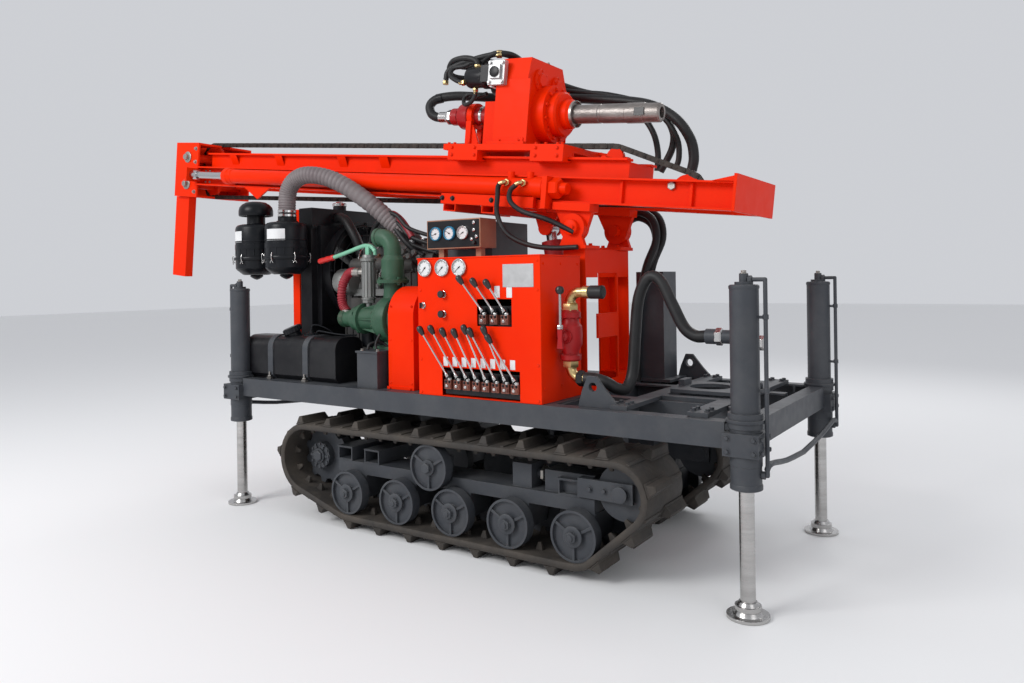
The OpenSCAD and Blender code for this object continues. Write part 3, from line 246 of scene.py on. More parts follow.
def lamp(name, place, target, size, power):
    data = bpy.data.lights.new(name, "AREA")
    data.shape, data.size, data.size_y, data.energy = "RECTANGLE", size[0], size[1], power
    o = bpy.data.objects.new(name, data)
    o.location = place
    o.rotation_mode = "QUATERNION"
    o.rotation_quaternion = (Vector(target) - Vector(place)).to_track_quat("-Z", "Y")
    bpy.context.scene.collection.objects.link(o)


lamp("key", (-1.6, -5.5, 4.2), (0.3, 0, 0.9), (3.0, 2.2), 250)
lamp("fill", (5.5, -2.5, 2.6), (0.5, 0, 0.9), (2.5, 2.5), 22)
lamp("back", (1.5, 5.0, 4.5), (0, 0, 1.0), (3.0, 2.0), 80)

floor_mesh = bpy.data.meshes.new("floor")
floor_mesh.from_pydata([(-30, -30, -0.001), (30, -30, -0.001), (30, 30, -0.001), (-30, 30, -0.001)], [], [(0, 1, 2, 3)])
floor = bpy.data.objects.new("floor", floor_mesh)
bpy.context.scene.collection.objects.link(floor)
pale = bpy.data.materials.new("pale_floor")
pale.use_nodes = True
pale.node_tree.nodes["Principled BSDF"].inputs["Base Color"].default_value = (0.86, 0.86, 0.86, 1)
pale.node_tree.nodes["Principled BSDF"].inputs["Roughness"].default_value = 0.9
floor_mesh.materials.append(pale)
bpy.context.scene.view_settings.view_transform = "Standard"

# Pieces: faces in millimetres, in deck or mast coordinates

class Piece:
    """Faces in millimetres in one set of coordinates, made into one object that rides on a body."""

    def __init__(self, name, paint, body="chassis", place=deck):
        self.name, self.body, self.place = name, body, place
        self.bm = bmesh.new()
        self.paints = [paint]
        self.index = 0

    def paint(self, name):
        if name not in self.paints:
            self.paints.append(name)
        self.index = self.paints.index(name)

    def face(self, corners):
        corners = list(dict.fromkeys(corners))
        if len(corners) > 2:
            f = self.bm.faces.new(corners)
            f.material_index, f.smooth = self.index, True

    def faces(self, points, faces):
        made = [self.bm.verts.new(p) for p in points]
        for f in faces:
            self.face([made[i] for i in f])

    def frustum(self, low, high):
        """Four corners below and four above, in the same turning order."""
        self.faces([*low, *high], [(3, 2, 1, 0), (4, 5, 6, 7)] + [(i, (i + 1) % 4, 4 + (i + 1) % 4, 4 + i)
                                                                 for i in range(4)])

    def box(self, x, y, z):
        def level(h):
            return [(x[0], y[0], h), (x[1], y[0], h), (x[1], y[1], h), (x[0], y[1], h)]
        self.frustum(level(z[0]), level(z[1]))

    def prism(self, outline, axis, low, high):
        """A flat outline in the two other axes, drawn out along axis number 0, 1 or 2."""
        def at(p, t):
            p = list(p)
            p.insert(axis, t)
            return p
        n = len(outline)
        self.faces([at(p, low) for p in outline] + [at(p, high) for p in outline],
                   [(i, (i + 1) % n, n + (i + 1) % n, n + i) for i in range(n)]
                   + [tuple(reversed(range(n))), tuple(range(n, 2 * n))])

    def turned(self, at, axis, profile, n=28, closed=False):
        """A form turned about an axis from pairs of distance along it and radius."""
        at, axis = Vector(at), Vector(axis).normalized()
        side = Vector((0, 0, 1)) if abs(axis.z) < 0.9 else Vector((1, 0, 0))
        side = (side - side.dot(axis) * axis).normalized()
        other = axis.cross(side)
        rings = []
        for h, r in profile:
            spots = [0] if r == 0 else [math.tau * k / n for k in range(n)]
            rings.append([self.bm.verts.new(at + h * axis + r * (math.cos(a) * side + math.sin(a) * other))
                          for a in spots])
        pairs = list(zip(rings, rings[1:] + rings[:1])) if closed else list(zip(rings, rings[1:]))
        for a, b in pairs:
            for k in range(n):
                j = (k + 1) % n
                self.face([a[k % len(a)], a[j % len(a)], b[j % len(b)], b[k % len(b)]])
        if not closed:
            for ring in (rings[0], rings[-1]):
                if len(ring) > 2:
                    self.face(ring)

    def bar(self, at, axis, length, d, n=24, c=0.0):
        ends = [(0, d / 2), (length, d / 2)] if c == 0 else [(0, d / 2 - c), (c, d / 2), (length - c, d / 2),
                                                             (length, d / 2 - c)]
        self.turned(at, axis, ends, n)

    def nut(self, at, axis, width, height):
        r = width / 2 / math.cos(math.pi / 6)
        self.turned(at, axis, [(0, r * 0.93), (height * 0.12, r), (height * 0.85, r), (height, r * 0.88)], 6)

    def bolt(self, at, axis, width):
        self.turned(at, axis, [(-1, width * 0.8), (width * 0.14, width * 0.8)], 16)
        at = Vector(at) + Vector(axis).normalized() * width * 0.14
        self.nut(at, axis, width, width * 0.55)

    def dome(self, at, axis, d):
        self.turned(at, axis, [(-0.5, d / 2), (d * 0.12, d * 0.46), (d * 0.24, d * 0.3), (d * 0.3, 0)], 14)

    def tube(self, points, d, n=12, steps=5, rings=None):
        """A hose or pipe along a smooth line; rings gives a radius for a station number."""
        points = [Vector(p) for p in points]
        ends = [2 * points[0] - points[1], *points, 2 * points[-1] - points[-2]]
        line = []
        for i in range(1, len(ends) - 2):
            a, b, c, e = ends[i - 1:i + 3]
            for k in range(steps):
                t = k / steps
                line.append(0.5 * (2 * b + (c - a) * t + (2 * a - 5 * b + 4 * c - e) * t * t
                                   + (3 * b - a - 3 * c + e) * t ** 3))
        line.append(points[-1])
        side = None
        loops = []
        for i, p in enumerate(line):
            along = (line[min(i + 1, len(line) - 1)] - line[max(i - 1, 0)]).normalized()
            if side is None:
                side = along.orthogonal()
            side = (side - side.dot(along) * along).normalized()
            other = along.cross(side)
            r = rings(i) if rings else d / 2
            loops.append([self.bm.verts.new(p + r * (math.cos(math.tau * k / n) * side
                                                     + math.sin(math.tau * k / n) * other)) for k in range(n)])
        for a, b in zip(loops, loops[1:]):
            for k in range(n):
                self.face([a[k], a[(k + 1) % n], b[(k + 1) % n], b[k]])
        self.face(loops[0])
        self.face(loops[-1])

    def fitting(self, at, axis, d):
        """The swaged end of a hose: ferrule, then a hexagon nut, out along the axis."""
        axis = Vector(axis).normalized()
        self.turned(at, axis, [(0, d * 0.5), (2, d * 0.64), (d * 1.1, d * 0.64), (d * 1.2, d * 0.5)], 20)
        self.nut(Vector(at) + axis * d * 1.2, axis, d * 1.35, d * 0.7)

    def pane(self, x_cuts, z_cuts, holes, y0, y1):
        """An upright plate across y, with rectangular holes given by cell numbers."""
        grid = {}
        for y in (y0, y1):
            for x in x_cuts:
                for z in z_cuts:
                    grid[x, y, z] = self.bm.verts.new((x, y, z))
        cells = [(i, j) for i in range(len(x_cuts) - 1) for j in range(len(z_cuts) - 1) if (i, j) not in holes]

        def quad(y, i, j):
            return [grid[x_cuts[i + a], y, z_cuts[j + b]] for a, b in ((0, 0), (1, 0), (1, 1), (0, 1))]
        for i, j in cells:
            self.face(quad(y0, i, j))
            self.face(quad(y1, i, j))
            for (di, dj), (a, b) in (((-1, 0), (3, 0)), ((1, 0), (1, 2)), ((0, -1), (0, 1)), ((0, 1), (2, 3))):
                if (i + di, j + dj) not in cells:
                    f, g = quad(y0, i, j), quad(y1, i, j)
                    self.face([f[a], f[b], g[b], g[a]])

    def done(self, *stands_for, bevel=0.0):
        bmesh.ops.recalc_face_normals(self.bm, faces=self.bm.faces)
        for v in self.bm.verts:
            v.co = self.place(*v.co)
        mesh = bpy.data.meshes.new(self.name)
        self.bm.to_mesh(mesh)
        self.bm.free()
        mesh.set_sharp_from_angle(angle=math.radians(33))
        for p in self.paints:
            mesh.materials.append(M[p])
        o = bpy.data.objects.new(self.name, mesh)
        bpy.context.scene.collection.objects.link(o)
        if bevel:
            soft = o.modifiers.new("bevel", "BEVEL")
            soft.width, soft.segments, soft.limit_method = bevel / 1000, 2, "ANGLE"
            soft.angle_limit = math.radians(50)
            soft.harden_normals = True
        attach(o, self.body)
        if stands_for:
            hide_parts(*stands_for)
        return o


X, Y, Z = Vector((1, 0, 0)), Vector((0, 1, 0)), Vector((0, 0, 1))
LEG_X, LEG_Y, DECK = 1300, 515, 641

# Rubber tracks: one belt a side, its outer lugs in two staggered rows

ROLLER_Z = 160.3
BELT_Y, BELT_T, LUG_H, LUGS = 393, 28, 35, 46
belt_wheels = [(-523, ROLLER_Z, 97.3), (655, ROLLER_Z, 97.3), (830, 330, 107.8), (-790, 285, 139.8)]


def belt_line():
    """Points of the belt's inner face with their outward directions, each with its distance along."""
    n = len(belt_wheels)

    def lean(i):
        (ax, az, ar), (bx, bz, br) = belt_wheels[i % n], belt_wheels[(i + 1) % n]
        return math.atan2(bz - az, bx - ax) + math.asin((ar - br) / math.hypot(bx - ax, bz - az))
    out = []
    for i, (x, z, r) in enumerate(belt_wheels):
        start, end = lean(i - 1), lean(i)
        turn = (end - start) % math.tau
        steps = max(2, round(turn / 0.1))
        for k in range(steps + 1):
            a = start + turn * k / steps
            out.append((Vector((x + r * math.sin(a), 0, z - r * math.cos(a))), Vector((math.sin(a), 0, -math.cos(a)))))
    out.append(out[0])
    marks = [0.0]
    for a, b in zip(out, out[1:]):
        marks.append(marks[-1] + (b[0] - a[0]).length)
    return out, marks


line, marks = belt_line()
belt_length = marks[-1]


def belt_at(s):
    s %= belt_length
    i = next(k for k in range(len(marks) - 1) if marks[k + 1] >= s)
    t = (s - marks[i]) / max(marks[i + 1] - marks[i], 1e-9)
    p = line[i][0].lerp(line[i + 1][0], t)
    out = line[i][1].lerp(line[i + 1][1], t).normalized()
    return p, out


pitch = belt_length / LUGS
section = [(-163, 3), (-160, 0), (160, 0), (163, 3), (165, 9), (165, 19), (162, 25), (156, 28), (-156, 28), (-162, 25),
           (-165, 19), (-165, 9)]
for side, name in ((-1, "near"), (1, "far")):
    belt = Piece("belt_" + name, "belt_rubber")
    loops = []
    stations = 4 * LUGS
    for k in range(stations):
        p, out = belt_at(k * belt_length / stations)
        loops.append([belt.bm.verts.new(p + out * h + Y * (side * BELT_Y + y)) for y, h in section])
    for k in range(stations):
        a, b = loops[k], loops[(k + 1) % stations]
        for j in range(len(section)):
            i = (j + 1) % len(section)
            belt.face([a[j], a[i], b[i], b[j]])

    def pad(s, half_base, half_tip, y0, y1, h0, h1, inset):
        p, out = belt_at(s)
        along = out.cross(Y)
        def ring(half, cut, h):
            return [p + along * t + Y * (side * BELT_Y + y) + out * h
                    for t, y in ((-half, y0 + cut), (half, y0 + cut), (half, y1 - cut), (-half, y1 - cut))]
        belt.frustum(ring(half_base, 0, h0), ring(half_tip, inset, h1))
    for k in range(LUGS):
        s = (k + 0.5) * pitch
        outer = k % 2 == 0
        lo, hi = (-165, 8) if outer == (side < 0) else (-8, 165)
        pad(s, 29, 23, lo, hi, BELT_T - 1, BELT_T + 6, 5)
        pad(s, 22, 10, lo + 3, hi - 3, BELT_T + 5, BELT_T + LUG_H, 9)
        lo, hi = (20, 158) if outer == (side < 0) else (-158, -20)
        pad(s, 9, 6, lo, hi, BELT_T - 1, BELT_T + 5, 3)
        for y in (-86, 86):
            pad(s, 17, 7, y - 9, y + 9, 0.5, -30, 4)
    belt.done("track_" + name, bevel=3.0)

# Fuel tank with its straps, cap and level sender
tank = Piece("fuel_tank_dressed", "black_paint")
TANK_X, TANK_Y = (-1285, -640), (-490, -306)


def tank_ring(x, grow, top=215):
    r, w, h = 58 + grow, 184 + 2 * grow, top + grow
    left, low = TANK_Y[0] - grow, DECK + 0.3 - min(grow, 0)
    out = [(x, left + 22, low), (x, left + w - 22, low), (x, left + w, low + 22)]
    for k in range(9):
        a = math.pi / 2 * k / 8
        out.append((x, left + w - r + r * math.cos(a), low + h - r + r * math.sin(a)))
    for k in range(9):
        a = math.pi / 2 * (1 + k / 8)
        out.append((x, left + r + r * math.cos(a), low + h - r + r * math.sin(a)))
    out.append((x, left, low + 22))
    return out


def tank_skin(piece, stations):
    rings = [[piece.bm.verts.new(p) for p in tank_ring(x, g)] for x, g in stations]
    for a, b in zip(rings, rings[1:]):
        for k in range(len(a)):
            piece.face([a[k], a[(k + 1) % len(a)], b[(k + 1) % len(a)], b[k]])
    piece.face(rings[0])
    piece.face(rings[-1])


tank_skin(tank, [(TANK_X[0] + 3, -12), (TANK_X[0] + 3, -3), (TANK_X[0], 0), (TANK_X[0] + 9, 0), (TANK_X[0] + 12, -2),
                 (TANK_X[1] - 12, -2), (TANK_X[1] - 9, 0), (TANK_X[1], 0), (TANK_X[1] - 3, -3), (TANK_X[1] - 3, -12)])
for x in (-1115, -862):
    tank.paint("slate_paint")
    tank_skin(tank, [(x, 0.3), (x, 4), (x + 36, 4), (x + 36, 0.3)])
    tank.paint("bare_steel")
    tank.box((x + 4, x + 32), (-506, -490), (DECK + 1, DECK + 9))
    tank.bar((x + 18, -500, DECK - 8), Z, 44, 9, 12)
    tank.nut((x + 18, -500, DECK + 10), Z, 16, 10)
tank.paint("black_plastic")
cap_at, cap_up = Vector((-1010, -405, 846)), Vector((-0.24, -0.3, 0.92))
tank.turned(cap_at, cap_up, [(0, 34), (26, 34), (26, 43), (30, 46), (52, 45), (56, 41), (57, 0)], 40)
for k in range(20):
    a = math.tau * k / 20
    side_way = cap_up.orthogonal().normalized()
    other_way = cap_up.normalized().cross(side_way)
    tank.bar(cap_at + cap_up.normalized() * 30 + 45 * (math.cos(a) * side_way + math.sin(a) * other_way), cap_up, 22, 5, 6)
tank.turned((-900, -400, 856), Z, [(0, 40), (6, 40), (6, 30), (14, 30), (14, 12), (24, 11), (24, 5), (34, 5)], 24)
for k in range(5):
    a = math.tau * k / 5
    tank.bolt((-900 + 34 * math.cos(a), -400 + 34 * math.sin(a), 862), Z, 7)
tank.tube([(-900, -400, 888), (-892, -396, 908), (-860, -380, 905), (-820, -350, 880), (-800, -315, 840)], 7, 8)
tank.tube([(-866, -400, 866), (-850, -398, 880), (-800, -380, 872), (-720, -360, 862), (-660, -330, 860)], 9, 8)
tank.done("fuel_tank")

# Air filters with clamp bands, clips, blank labels, and the rain cap
filters = Piece("air_filters_dressed", "black_plastic")
FILTER_R = 104
FILTER_AT = [(-1053, -421, 1163), (-1297, -411, 1163)]
for number, at in enumerate(FILTER_AT):
    filters.paint("black_plastic")
    filters.turned(at, Z, [(0, 0), (0, 62), (3, 70), (26, 98), (34, FILTER_R), (76, FILTER_R), (76, FILTER_R + 7),
                           (80, FILTER_R + 9), (87, FILTER_R + 9), (91, FILTER_R + 7), (91, FILTER_R),
                           (168, FILTER_R), (170, FILTER_R + 2), (174, FILTER_R + 2), (176, FILTER_R),
                           (238, FILTER_R), (250, FILTER_R - 4), (257, FILTER_R - 12), (261, FILTER_R - 26),
                           (262, 50), (268, 46), (268, 0)], 48)
    for k in range(16):
        a = math.tau * k / 16
        x, y = math.cos(a), math.sin(a)
        filters.box((at[0] + x * 102 - 3, at[0] + x * 102 + 3), (at[1] + y * 102 - 3, at[1] + y * 102 + 3),
                    (at[2] + 100, at[2] + 160))
    filters.turned(at, -Z, [(0, 30), (6, 34), (14, 26), (22, 12), (26, 0)], 20)
    filters.paint("bright_steel")
    for a in (-2.3, -1.35, -0.35, 0.9, 2.2):
        x, y = math.cos(a), math.sin(a)
        base = Vector((at[0] + x * (FILTER_R + 7), at[1] + y * (FILTER_R + 7), at[2] + 62))
        way = Vector((x, y, 0))
        filters.tube([base - 4 * way, base + 6 * way + 12 * Z, base + 8 * way + 30 * Z, base + 3 * way + 44 * Z],
                     5, 8, 3)
        filters.tube([base + 5 * way - 6 * Z - 9 * way.cross(Z), base + 7 * way + 6 * Z,
                      base + 5 * way - 6 * Z + 9 * way.cross(Z)], 4, 6, 3)
    filters.paint("white_plate")
    for a in ((-1.256,) if number == 0 else (-1.92,)):
        rows = []
        for z in (at[2] + 168, at[2] + 224):
            rows.append([filters.bm.verts.new((at[0] + (FILTER_R + 1.2) * math.cos(a + b), at[1]
                                               + (FILTER_R + 1.2) * math.sin(a + b), z))
                         for b in [0.5 * (k / 8 - 0.5) * 2 for k in range(9)]])
        for k in range(8):
            filters.face([rows[0][k], rows[0][k + 1], rows[1][k + 1], rows[1][k]])
filters.paint("black_plastic")
rain = FILTER_AT[1]
filters.turned(rain, Z, [(262, 46), (312, 46), (312, 74), (306, 78), (306, 84), (312, 87), (334, 87), (352, 82), (366, 70),
                         (374, 56), (377, 52), (381, 30), (382, 0)], 44)
for k in range(18):
    a = math.tau * k / 18
    x, y = math.cos(a), math.sin(a)
    filters.frustum([(rain[0] + x * 60 - y * 2, rain[1] + y * 60 + x * 2, rain[2] + 308),
                     (rain[0] + x * 84 - y * 2, rain[1] + y * 84 + x * 2, rain[2] + 308),
                     (rain[0] + x * 84 + y * 2, rain[1] + y * 84 - x * 2, rain[2] + 308),
                     (rain[0] + x * 60 + y * 2, rain[1] + y * 60 - x * 2, rain[2] + 308)],
                    [(rain[0] + x * 60 - y * 2, rain[1] + y * 60 + x * 2, rain[2] + 370),
                     (rain[0] + x * 74 - y * 2, rain[1] + y * 74 + x * 2, rain[2] + 362),
                     (rain[0] + x * 74 + y * 2, rain[1] + y * 74 - x * 2, rain[2] + 362),
                     (rain[0] + x * 60 + y * 2, rain[1] + y * 60 - x * 2, rain[2] + 370)])
first = FILTER_AT[0]
filters.turned((first[0] + 10, first[1], first[2] + 262), Z, [(0, 52), (5, 52), (8, 46), (42, 45), (42, 0)], 36)
filters.box((-1240, -1146), (-300, -250), (1232, 1262))
filters.box((-1130, -1010), (-340, -301), (1232, 1262))
filters.paint("black_plastic")
for at in FILTER_AT:
    filters.turned((at[0], at[1], at[2] + 132), Z, [(0, FILTER_R + 0.3), (0, FILTER_R + 2.5), (24, FILTER_R + 2.5),
                                                    (24, FILTER_R + 0.3)], 48, closed=True)
filters.box((-1290, -1235), (-330, -262), (1232, 1258))
filters.done("air_filters")

# Corrugated intake duct with hose clamps
duct = Piece("intake_duct_dressed", "grey_duct")
duct_line = [(-1043, -421, 1440), (-1043, -421, 1500), (-1037, -418, 1575), (-1003, -408, 1630), (-935, -390, 1656),
             (-832, -352, 1640), (-725, -310, 1585), (-610, -250, 1490), (-530, -200, 1405), (-470, -165, 1345),
             (-440, -152, 1315), (-430, -150, 1301)]
duct.tube(duct_line, 84, 24, 17, rings=lambda i: 42.0 + 1.4 * (1 if i % 3 else -1))
duct.paint("bright_steel")
for at, way in (((-1043, -421, 1452), Z), ((-1043, -421, 1472), Z), ((-432, -150, 1306), Vector((-0.3, -0.05, 1)))):
    duct.turned(at, way, [(0, 43.5), (0, 45.5), (11, 45.5), (11, 43.5)], 36, closed=True)
    duct.box((at[0] - 4, at[0] + 30), (at[1] - 56, at[1] - 43), (at[2] - 1, at[2] + 12))
duct.done("intake_duct")

# Control cabinet: open windows, gauges, knobs and a blank plate
CAB_X, CAB_Y, CAB_Z = (-80, 530), (-545, -232), (641.3, 1215)
cabinet = Piece("control_cabinet_dressed", "red_paint")
cabinet.pane([CAB_X[0], 46, 229, 396, 431, CAB_X[1]], [CAB_Z[0], 645, 762, 936, 1044, CAB_Z[1]],
             {(1, 1), (2, 1), (3, 1), (2, 3)}, CAB_Y[0], CAB_Y[0] + 4)
cabinet.box((CAB_X[0], CAB_X[0] + 4), (CAB_Y[0] + 4, CAB_Y[1]), CAB_Z)
cabinet.box((CAB_X[1] - 4, CAB_X[1]), (CAB_Y[0] + 4, CAB_Y[1]), CAB_Z)
cabinet.box((CAB_X[0] - 3, CAB_X[1] + 3), (CAB_Y[0] - 3, CAB_Y[1] + 3), (CAB_Z[1] - 5, CAB_Z[1] + 1))
cabinet.box((CAB_X[0] + 4, CAB_X[1] - 4), (CAB_Y[0] + 4, CAB_Y[1]), (CAB_Z[0], CAB_Z[0] + 4))
for z in (CAB_Z[0] + 12, 790, 1080, CAB_Z[1] - 22):
    cabinet.dome((CAB_X[1] - 14, CAB_Y[0], z), -Y, 13)
    cabinet.dome((CAB_X[0] + 14, CAB_Y[0], z), -Y, 13)
for y in (-520, -390, -255):
    for z in (700, 1180):
        cabinet.dome((CAB_X[1], y, z), X, 13)
# Painted shade: a black sheet across the cabinet's inside back darkens the inside seen through the windows
cabinet.paint("black_paint")
cabinet.box((CAB_X[0] + 5, CAB_X[1] - 5), (-250, -246), (CAB_Z[0] + 5, CAB_Z[1] - 6))
cabinet.done("control_cabinet", bevel=1.6)

dials = Piece("panel_gauges", "bright_steel")
GAUGES = [(-36, 1173), (56, 1173), (145, 1173)]


def dial(piece, at, face_way, d, rim, needle):
    """A round gauge: rim, white face, ticks and a needle, facing -Y."""
    x, y, z = at
    piece.paint(rim)
    piece.turned(at, -Y, [(0, d * 0.5), (9, d * 0.5), (12, d * 0.47), (12, d * 0.43), (6, d * 0.42)], 40)
    piece.paint("white_plate")
    piece.turned((x, y - 6, z), -Y, [(0, d * 0.42), (0.6, d * 0.42)], 36)
    piece.paint("black_knob")
    for k in range(25):
        a = math.radians(-45 + 270 * k / 24)
        long = 0.09 if k % 3 == 0 else 0.05
        c, s = math.cos(a), math.sin(a)
        w = 0.9 if k % 3 == 0 else 0.5
        r0, r1 = d * (0.40 - long), d * 0.40
        ring = [(x + c * r + n * s * w, z + s * r - n * c * w) for r, n in ((r0, 1), (r1, 1), (r1, -1), (r0, -1))]
        piece.frustum([(p, y - 6.5, q) for p, q in ring], [(p, y - 7.1, q) for p, q in ring])
    a = math.radians(needle)
    c, s = math.cos(a), math.sin(a)
    ring = [(x - c * d * 0.1 + s * 1.6, z - s * d * 0.1 - c * 1.6), (x + c * d * 0.34 + s * 0.4, z + s * d * 0.34 - c * 0.4),
            (x + c * d * 0.34 - s * 0.4, z + s * d * 0.34 + c * 0.4), (x - c * d * 0.1 - s * 1.6, z - s * d * 0.1 + c * 1.6)]
    piece.frustum([(p, y - 8, q) for p, q in ring], [(p, y - 9, q) for p, q in ring])
    piece.turned((x, y - 7, z), -Y, [(0, 3), (3, 3), (3.5, 0)], 14)


for (x, z), needle in zip(GAUGES, (228, 225, 220)):
    dial(dials, (x, CAB_Y[0], z), -Y, 73, "bright_steel", needle)
for z in (982, 1064):
    dials.paint("bright_steel")
    dials.turned((58, CAB_Y[0], z), -Y, [(0, 15), (3, 15), (4, 12)], 24)
    dials.paint("black_knob")
    dials.turned((58, CAB_Y[0] - 3, z), -Y, [(0, 11), (5, 11), (7, 15), (19, 15.5), (22, 13), (22, 0)], 12)
dials.paint("bright_steel")
dials.turned((-51, CAB_Y[0], 1017), -Y, [(0, 14), (3, 14), (3, 10), (12, 9.5), (12, 0)], 20)
dials.paint("black_knob")
dials.box((-53, -49), (CAB_Y[0] - 24, CAB_Y[0] - 11), (1005, 1029))
dials.done("gauges")

plate = Piece("blank_plate", "silver_plate")
plate.pane([357, 500], [1091, 1181], set(), CAB_Y[0] - 1.2, CAB_Y[0] - 0.1)
for x in (362, 495):
    for z in (1096, 1176):
        plate.dome((x, CAB_Y[0] - 1, z), -Y, 5)
plate.paint("white_plate")
for x in (316, 374):
    plate.pane([x, x + 26], [1050, 1096], set(), CAB_Y[0] - 0.8, CAB_Y[0] - 0.1)
for k in range(8):
    plate.pane([54 + 47.5 * k, 78 + 47.5 * k], [768, 806], set(), CAB_Y[0] - 0.8, CAB_Y[0] - 0.1)
plate.done()

# Valve banks in the windows and their levers: foot x, knob x, knob height
LOWER = [(80, -39, 913), (127.5, 18, 918), (175, 79, 909), (222.5, 139, 907), (270, 190, 923), (317.5, 219, 912),
         (365, 287, 921), (410, 308, 889)]
UPPER = [(260, 167, 1122), (313, 236, 1111), (366, 301, 1105)]
bank = Piece("valve_banks_dressed", "primer_brown")
levers = Piece("control_levers_dressed", "bright_steel")
for row, z, knob_y in ((LOWER, 716, -578), (UPPER, 986, -574)):
    bank.paint("black_paint")
    bank.box((row[0][0] - 24, row[-1][0] + 22), (-535, -440), (z - 64, z - 40))
    bank.box((row[0][0] - 24, row[-1][0] + 22), (-528, -440), (z - 42, z + 30))
    for foot, knob, height in row:
        bank.paint("primer_brown")
        bank.box((foot - 17, foot + 17), (-552, -500), (z - 42, z - 4))
        bank.box((foot - 13, foot + 13), (-556, -500), (z - 36, z - 22))
        bank.paint("bright_steel")
        bank.bar((foot, -562, z - 28), Y, 12, 13, 16, 1.5)
        bank.bar((foot - 10, -545, z + 4), Z, 20, 9, 12)
        bank.nut((foot + 8, -548, z - 6), Z, 15, 11)
        bank.paint("black_paint")
        bank.turned((foot, -540, z - 4), Z, [(0, 16), (6, 16), (9, 11), (22, 9), (26, 6), (26, 0)], 18)
        bank.bolt((foot - 9, -552, z - 12), -Y, 7)
        bank.bolt((foot + 9, -552, z - 12), -Y, 7)
        top = Vector((knob, knob_y, height))
        base = Vector((foot, -556, z + 14))
        way = (top - base).normalized()
        levers.paint("bright_steel")
        levers.turned(base - way * 6, way, [(0, 7), (10, 8), (16, 5.5), (22, 4.4)], 14)
        levers.bar(base, way, (top - base).length - 14, 8, 14)
        levers.paint("black_knob")
        levers.turned(top - way * 22, way, [(0, 7), (3, 9), (14, 11.5), (26, 13.5), (36, 12.5), (42, 8), (44, 0)], 24)
bank.done("valve_banks")
levers.done("control_levers")

# Instrument box over the cabinet, with three round gauges
box = Piece("instrument_box_dressed", "copper_paint")
bx, by, bz = (-206, 94), (-330, -210), (1262, 1392)
outline = [(by[0] + 22, bz[0]), (by[1], bz[0]), (by[1], bz[1]), (by[0], bz[1]), (by[0], bz[1] - 12)]
box.prism([(by[0], bz[0]), (by[1], bz[0]), (by[1], bz[1]), (by[0], bz[1])], 0, bx[0], bx[1])
for x in (-170, 40):
    box.box((x, x + 30), (-292, -262), (1215.3, 1263))
box.paint("black_paint")
box.pane([bx[0] + 5, bx[1] - 5], [bz[0] + 5, bz[1] - 5], set(), by[0] - 2, by[0] - 0.2)
box.done("instrument_box", bevel=2.5)
panel = Piece("instrument_gauges", "bright_steel")
M["blue_rim"] = material("blue_rim", (0.02, 0.25, 0.45), 0.35, grain=0.03)
for x, rim, needle in ((-150, "blue_rim", 200), (-72, "blue_rim", 150), (4, "bright_steel", 210)):
    dial(panel, (x, by[0] - 2, 1330), -Y, 62, rim, needle)
panel.paint("bright_steel")
for x, z in ((62, 1372), (62, 1340), (76, 1310), (50, 1300)):
    panel.turned((x, by[0] - 2, z), -Y, [(0, 8), (5, 8), (7, 5), (7, 0)], 16)
panel.paint("black_knob")
panel.turned((64, by[0] - 2, 1285), -Y, [(0, 9), (12, 8), (12, 0)], 16)
panel.done()

# Water valve beside the cabinet: red body, brass elbows, steel lever rod
VALVE = (582, -410)
LOWER_BY = -72
valve = Piece("water_valve_dressed", "dark_red_paint")
vx, vy = VALVE
valve.turned((vx, vy, 872), Z, [(0, 34), (6, 42), (24, 42), (28, 33), (42, 34), (62, 46), (100, 48), (136, 46), (152, 34),
                                (166, 33), (170, 42), (190, 42), (194, 34), (200, 31)], 36)
valve.turned((vx, vy - 30, 970), -Y, [(0, 30), (18, 30), (18, 22), (34, 20), (38, 14), (46, 14), (46, 0)], 28)
valve.prism([(-13, 925), (13, 925), (9, 960), (11, 1012), (-11, 1012), (-9, 960)], 1, vy - 84, vy - 74)
for v in valve.bm.verts:
    if abs(v.co.x) < 20:
        v.co.x += vx
valve.box((530.3, vx), (vy - 20, vy + 20), (960, 984))
for k in range(8):
    a = math.tau * (k + 0.5) / 8
    for z in (896, 1041):
        valve.bolt((vx + 38 * math.cos(a), vy + 38 * math.sin(a), z), Z if z < 1000 else -Z, 8)
valve.paint("bright_steel")
valve.bar((vx, vy - 79, 1005), Z, 140, 12, 16)
valve.nut((vx, vy - 79, 1000), Z, 22, 16)
valve.paint("black_knob")
valve.turned((vx, vy - 79, 1134), Z, [(0, 7), (3, 13), (12, 17), (20, 17), (29, 12), (33, 0)], 24)
valve.paint("brass")
for z, up in ((1140, 1), (806, -1)):
    bend = [(vx + 42 - 42 * math.cos(math.radians(a)), vy, z - up * 42 + up * 42 * math.sin(math.radians(a)))
            for a in range(0, 91, 10)]
    valve.tube([(vx, vy, z - up * 56), *bend, (vx + 92, vy, z)], 40, 20, 2)
    low = min(z - up * 42, z - up * 78)
    valve.nut((vx, vy, low), Z, 58, 36)
    valve.bar((vx, vy, low - 5 if up < 0 else low + 36), Z, 6, 46, 24)
    valve.turned((vx + 60, vy, z), X, [(0, 20), (2, 25), (26, 25), (28, 22)], 24)
valve.paint("grey_casting")
valve.bar((vx, vy, 1066), Z, 12, 52, 6)
valve.bar((vx, vy, 860), Z, 14, 50, 24)
valve.paint("hose_rubber")
valve.turned((vx + 88, vy, 1140), X, [(0, 24), (3, 26), (56, 26), (60, 20), (60, 0)], 24)
for v in valve.bm.verts:
    v.co.z += LOWER_BY
valve.done("water_valve")

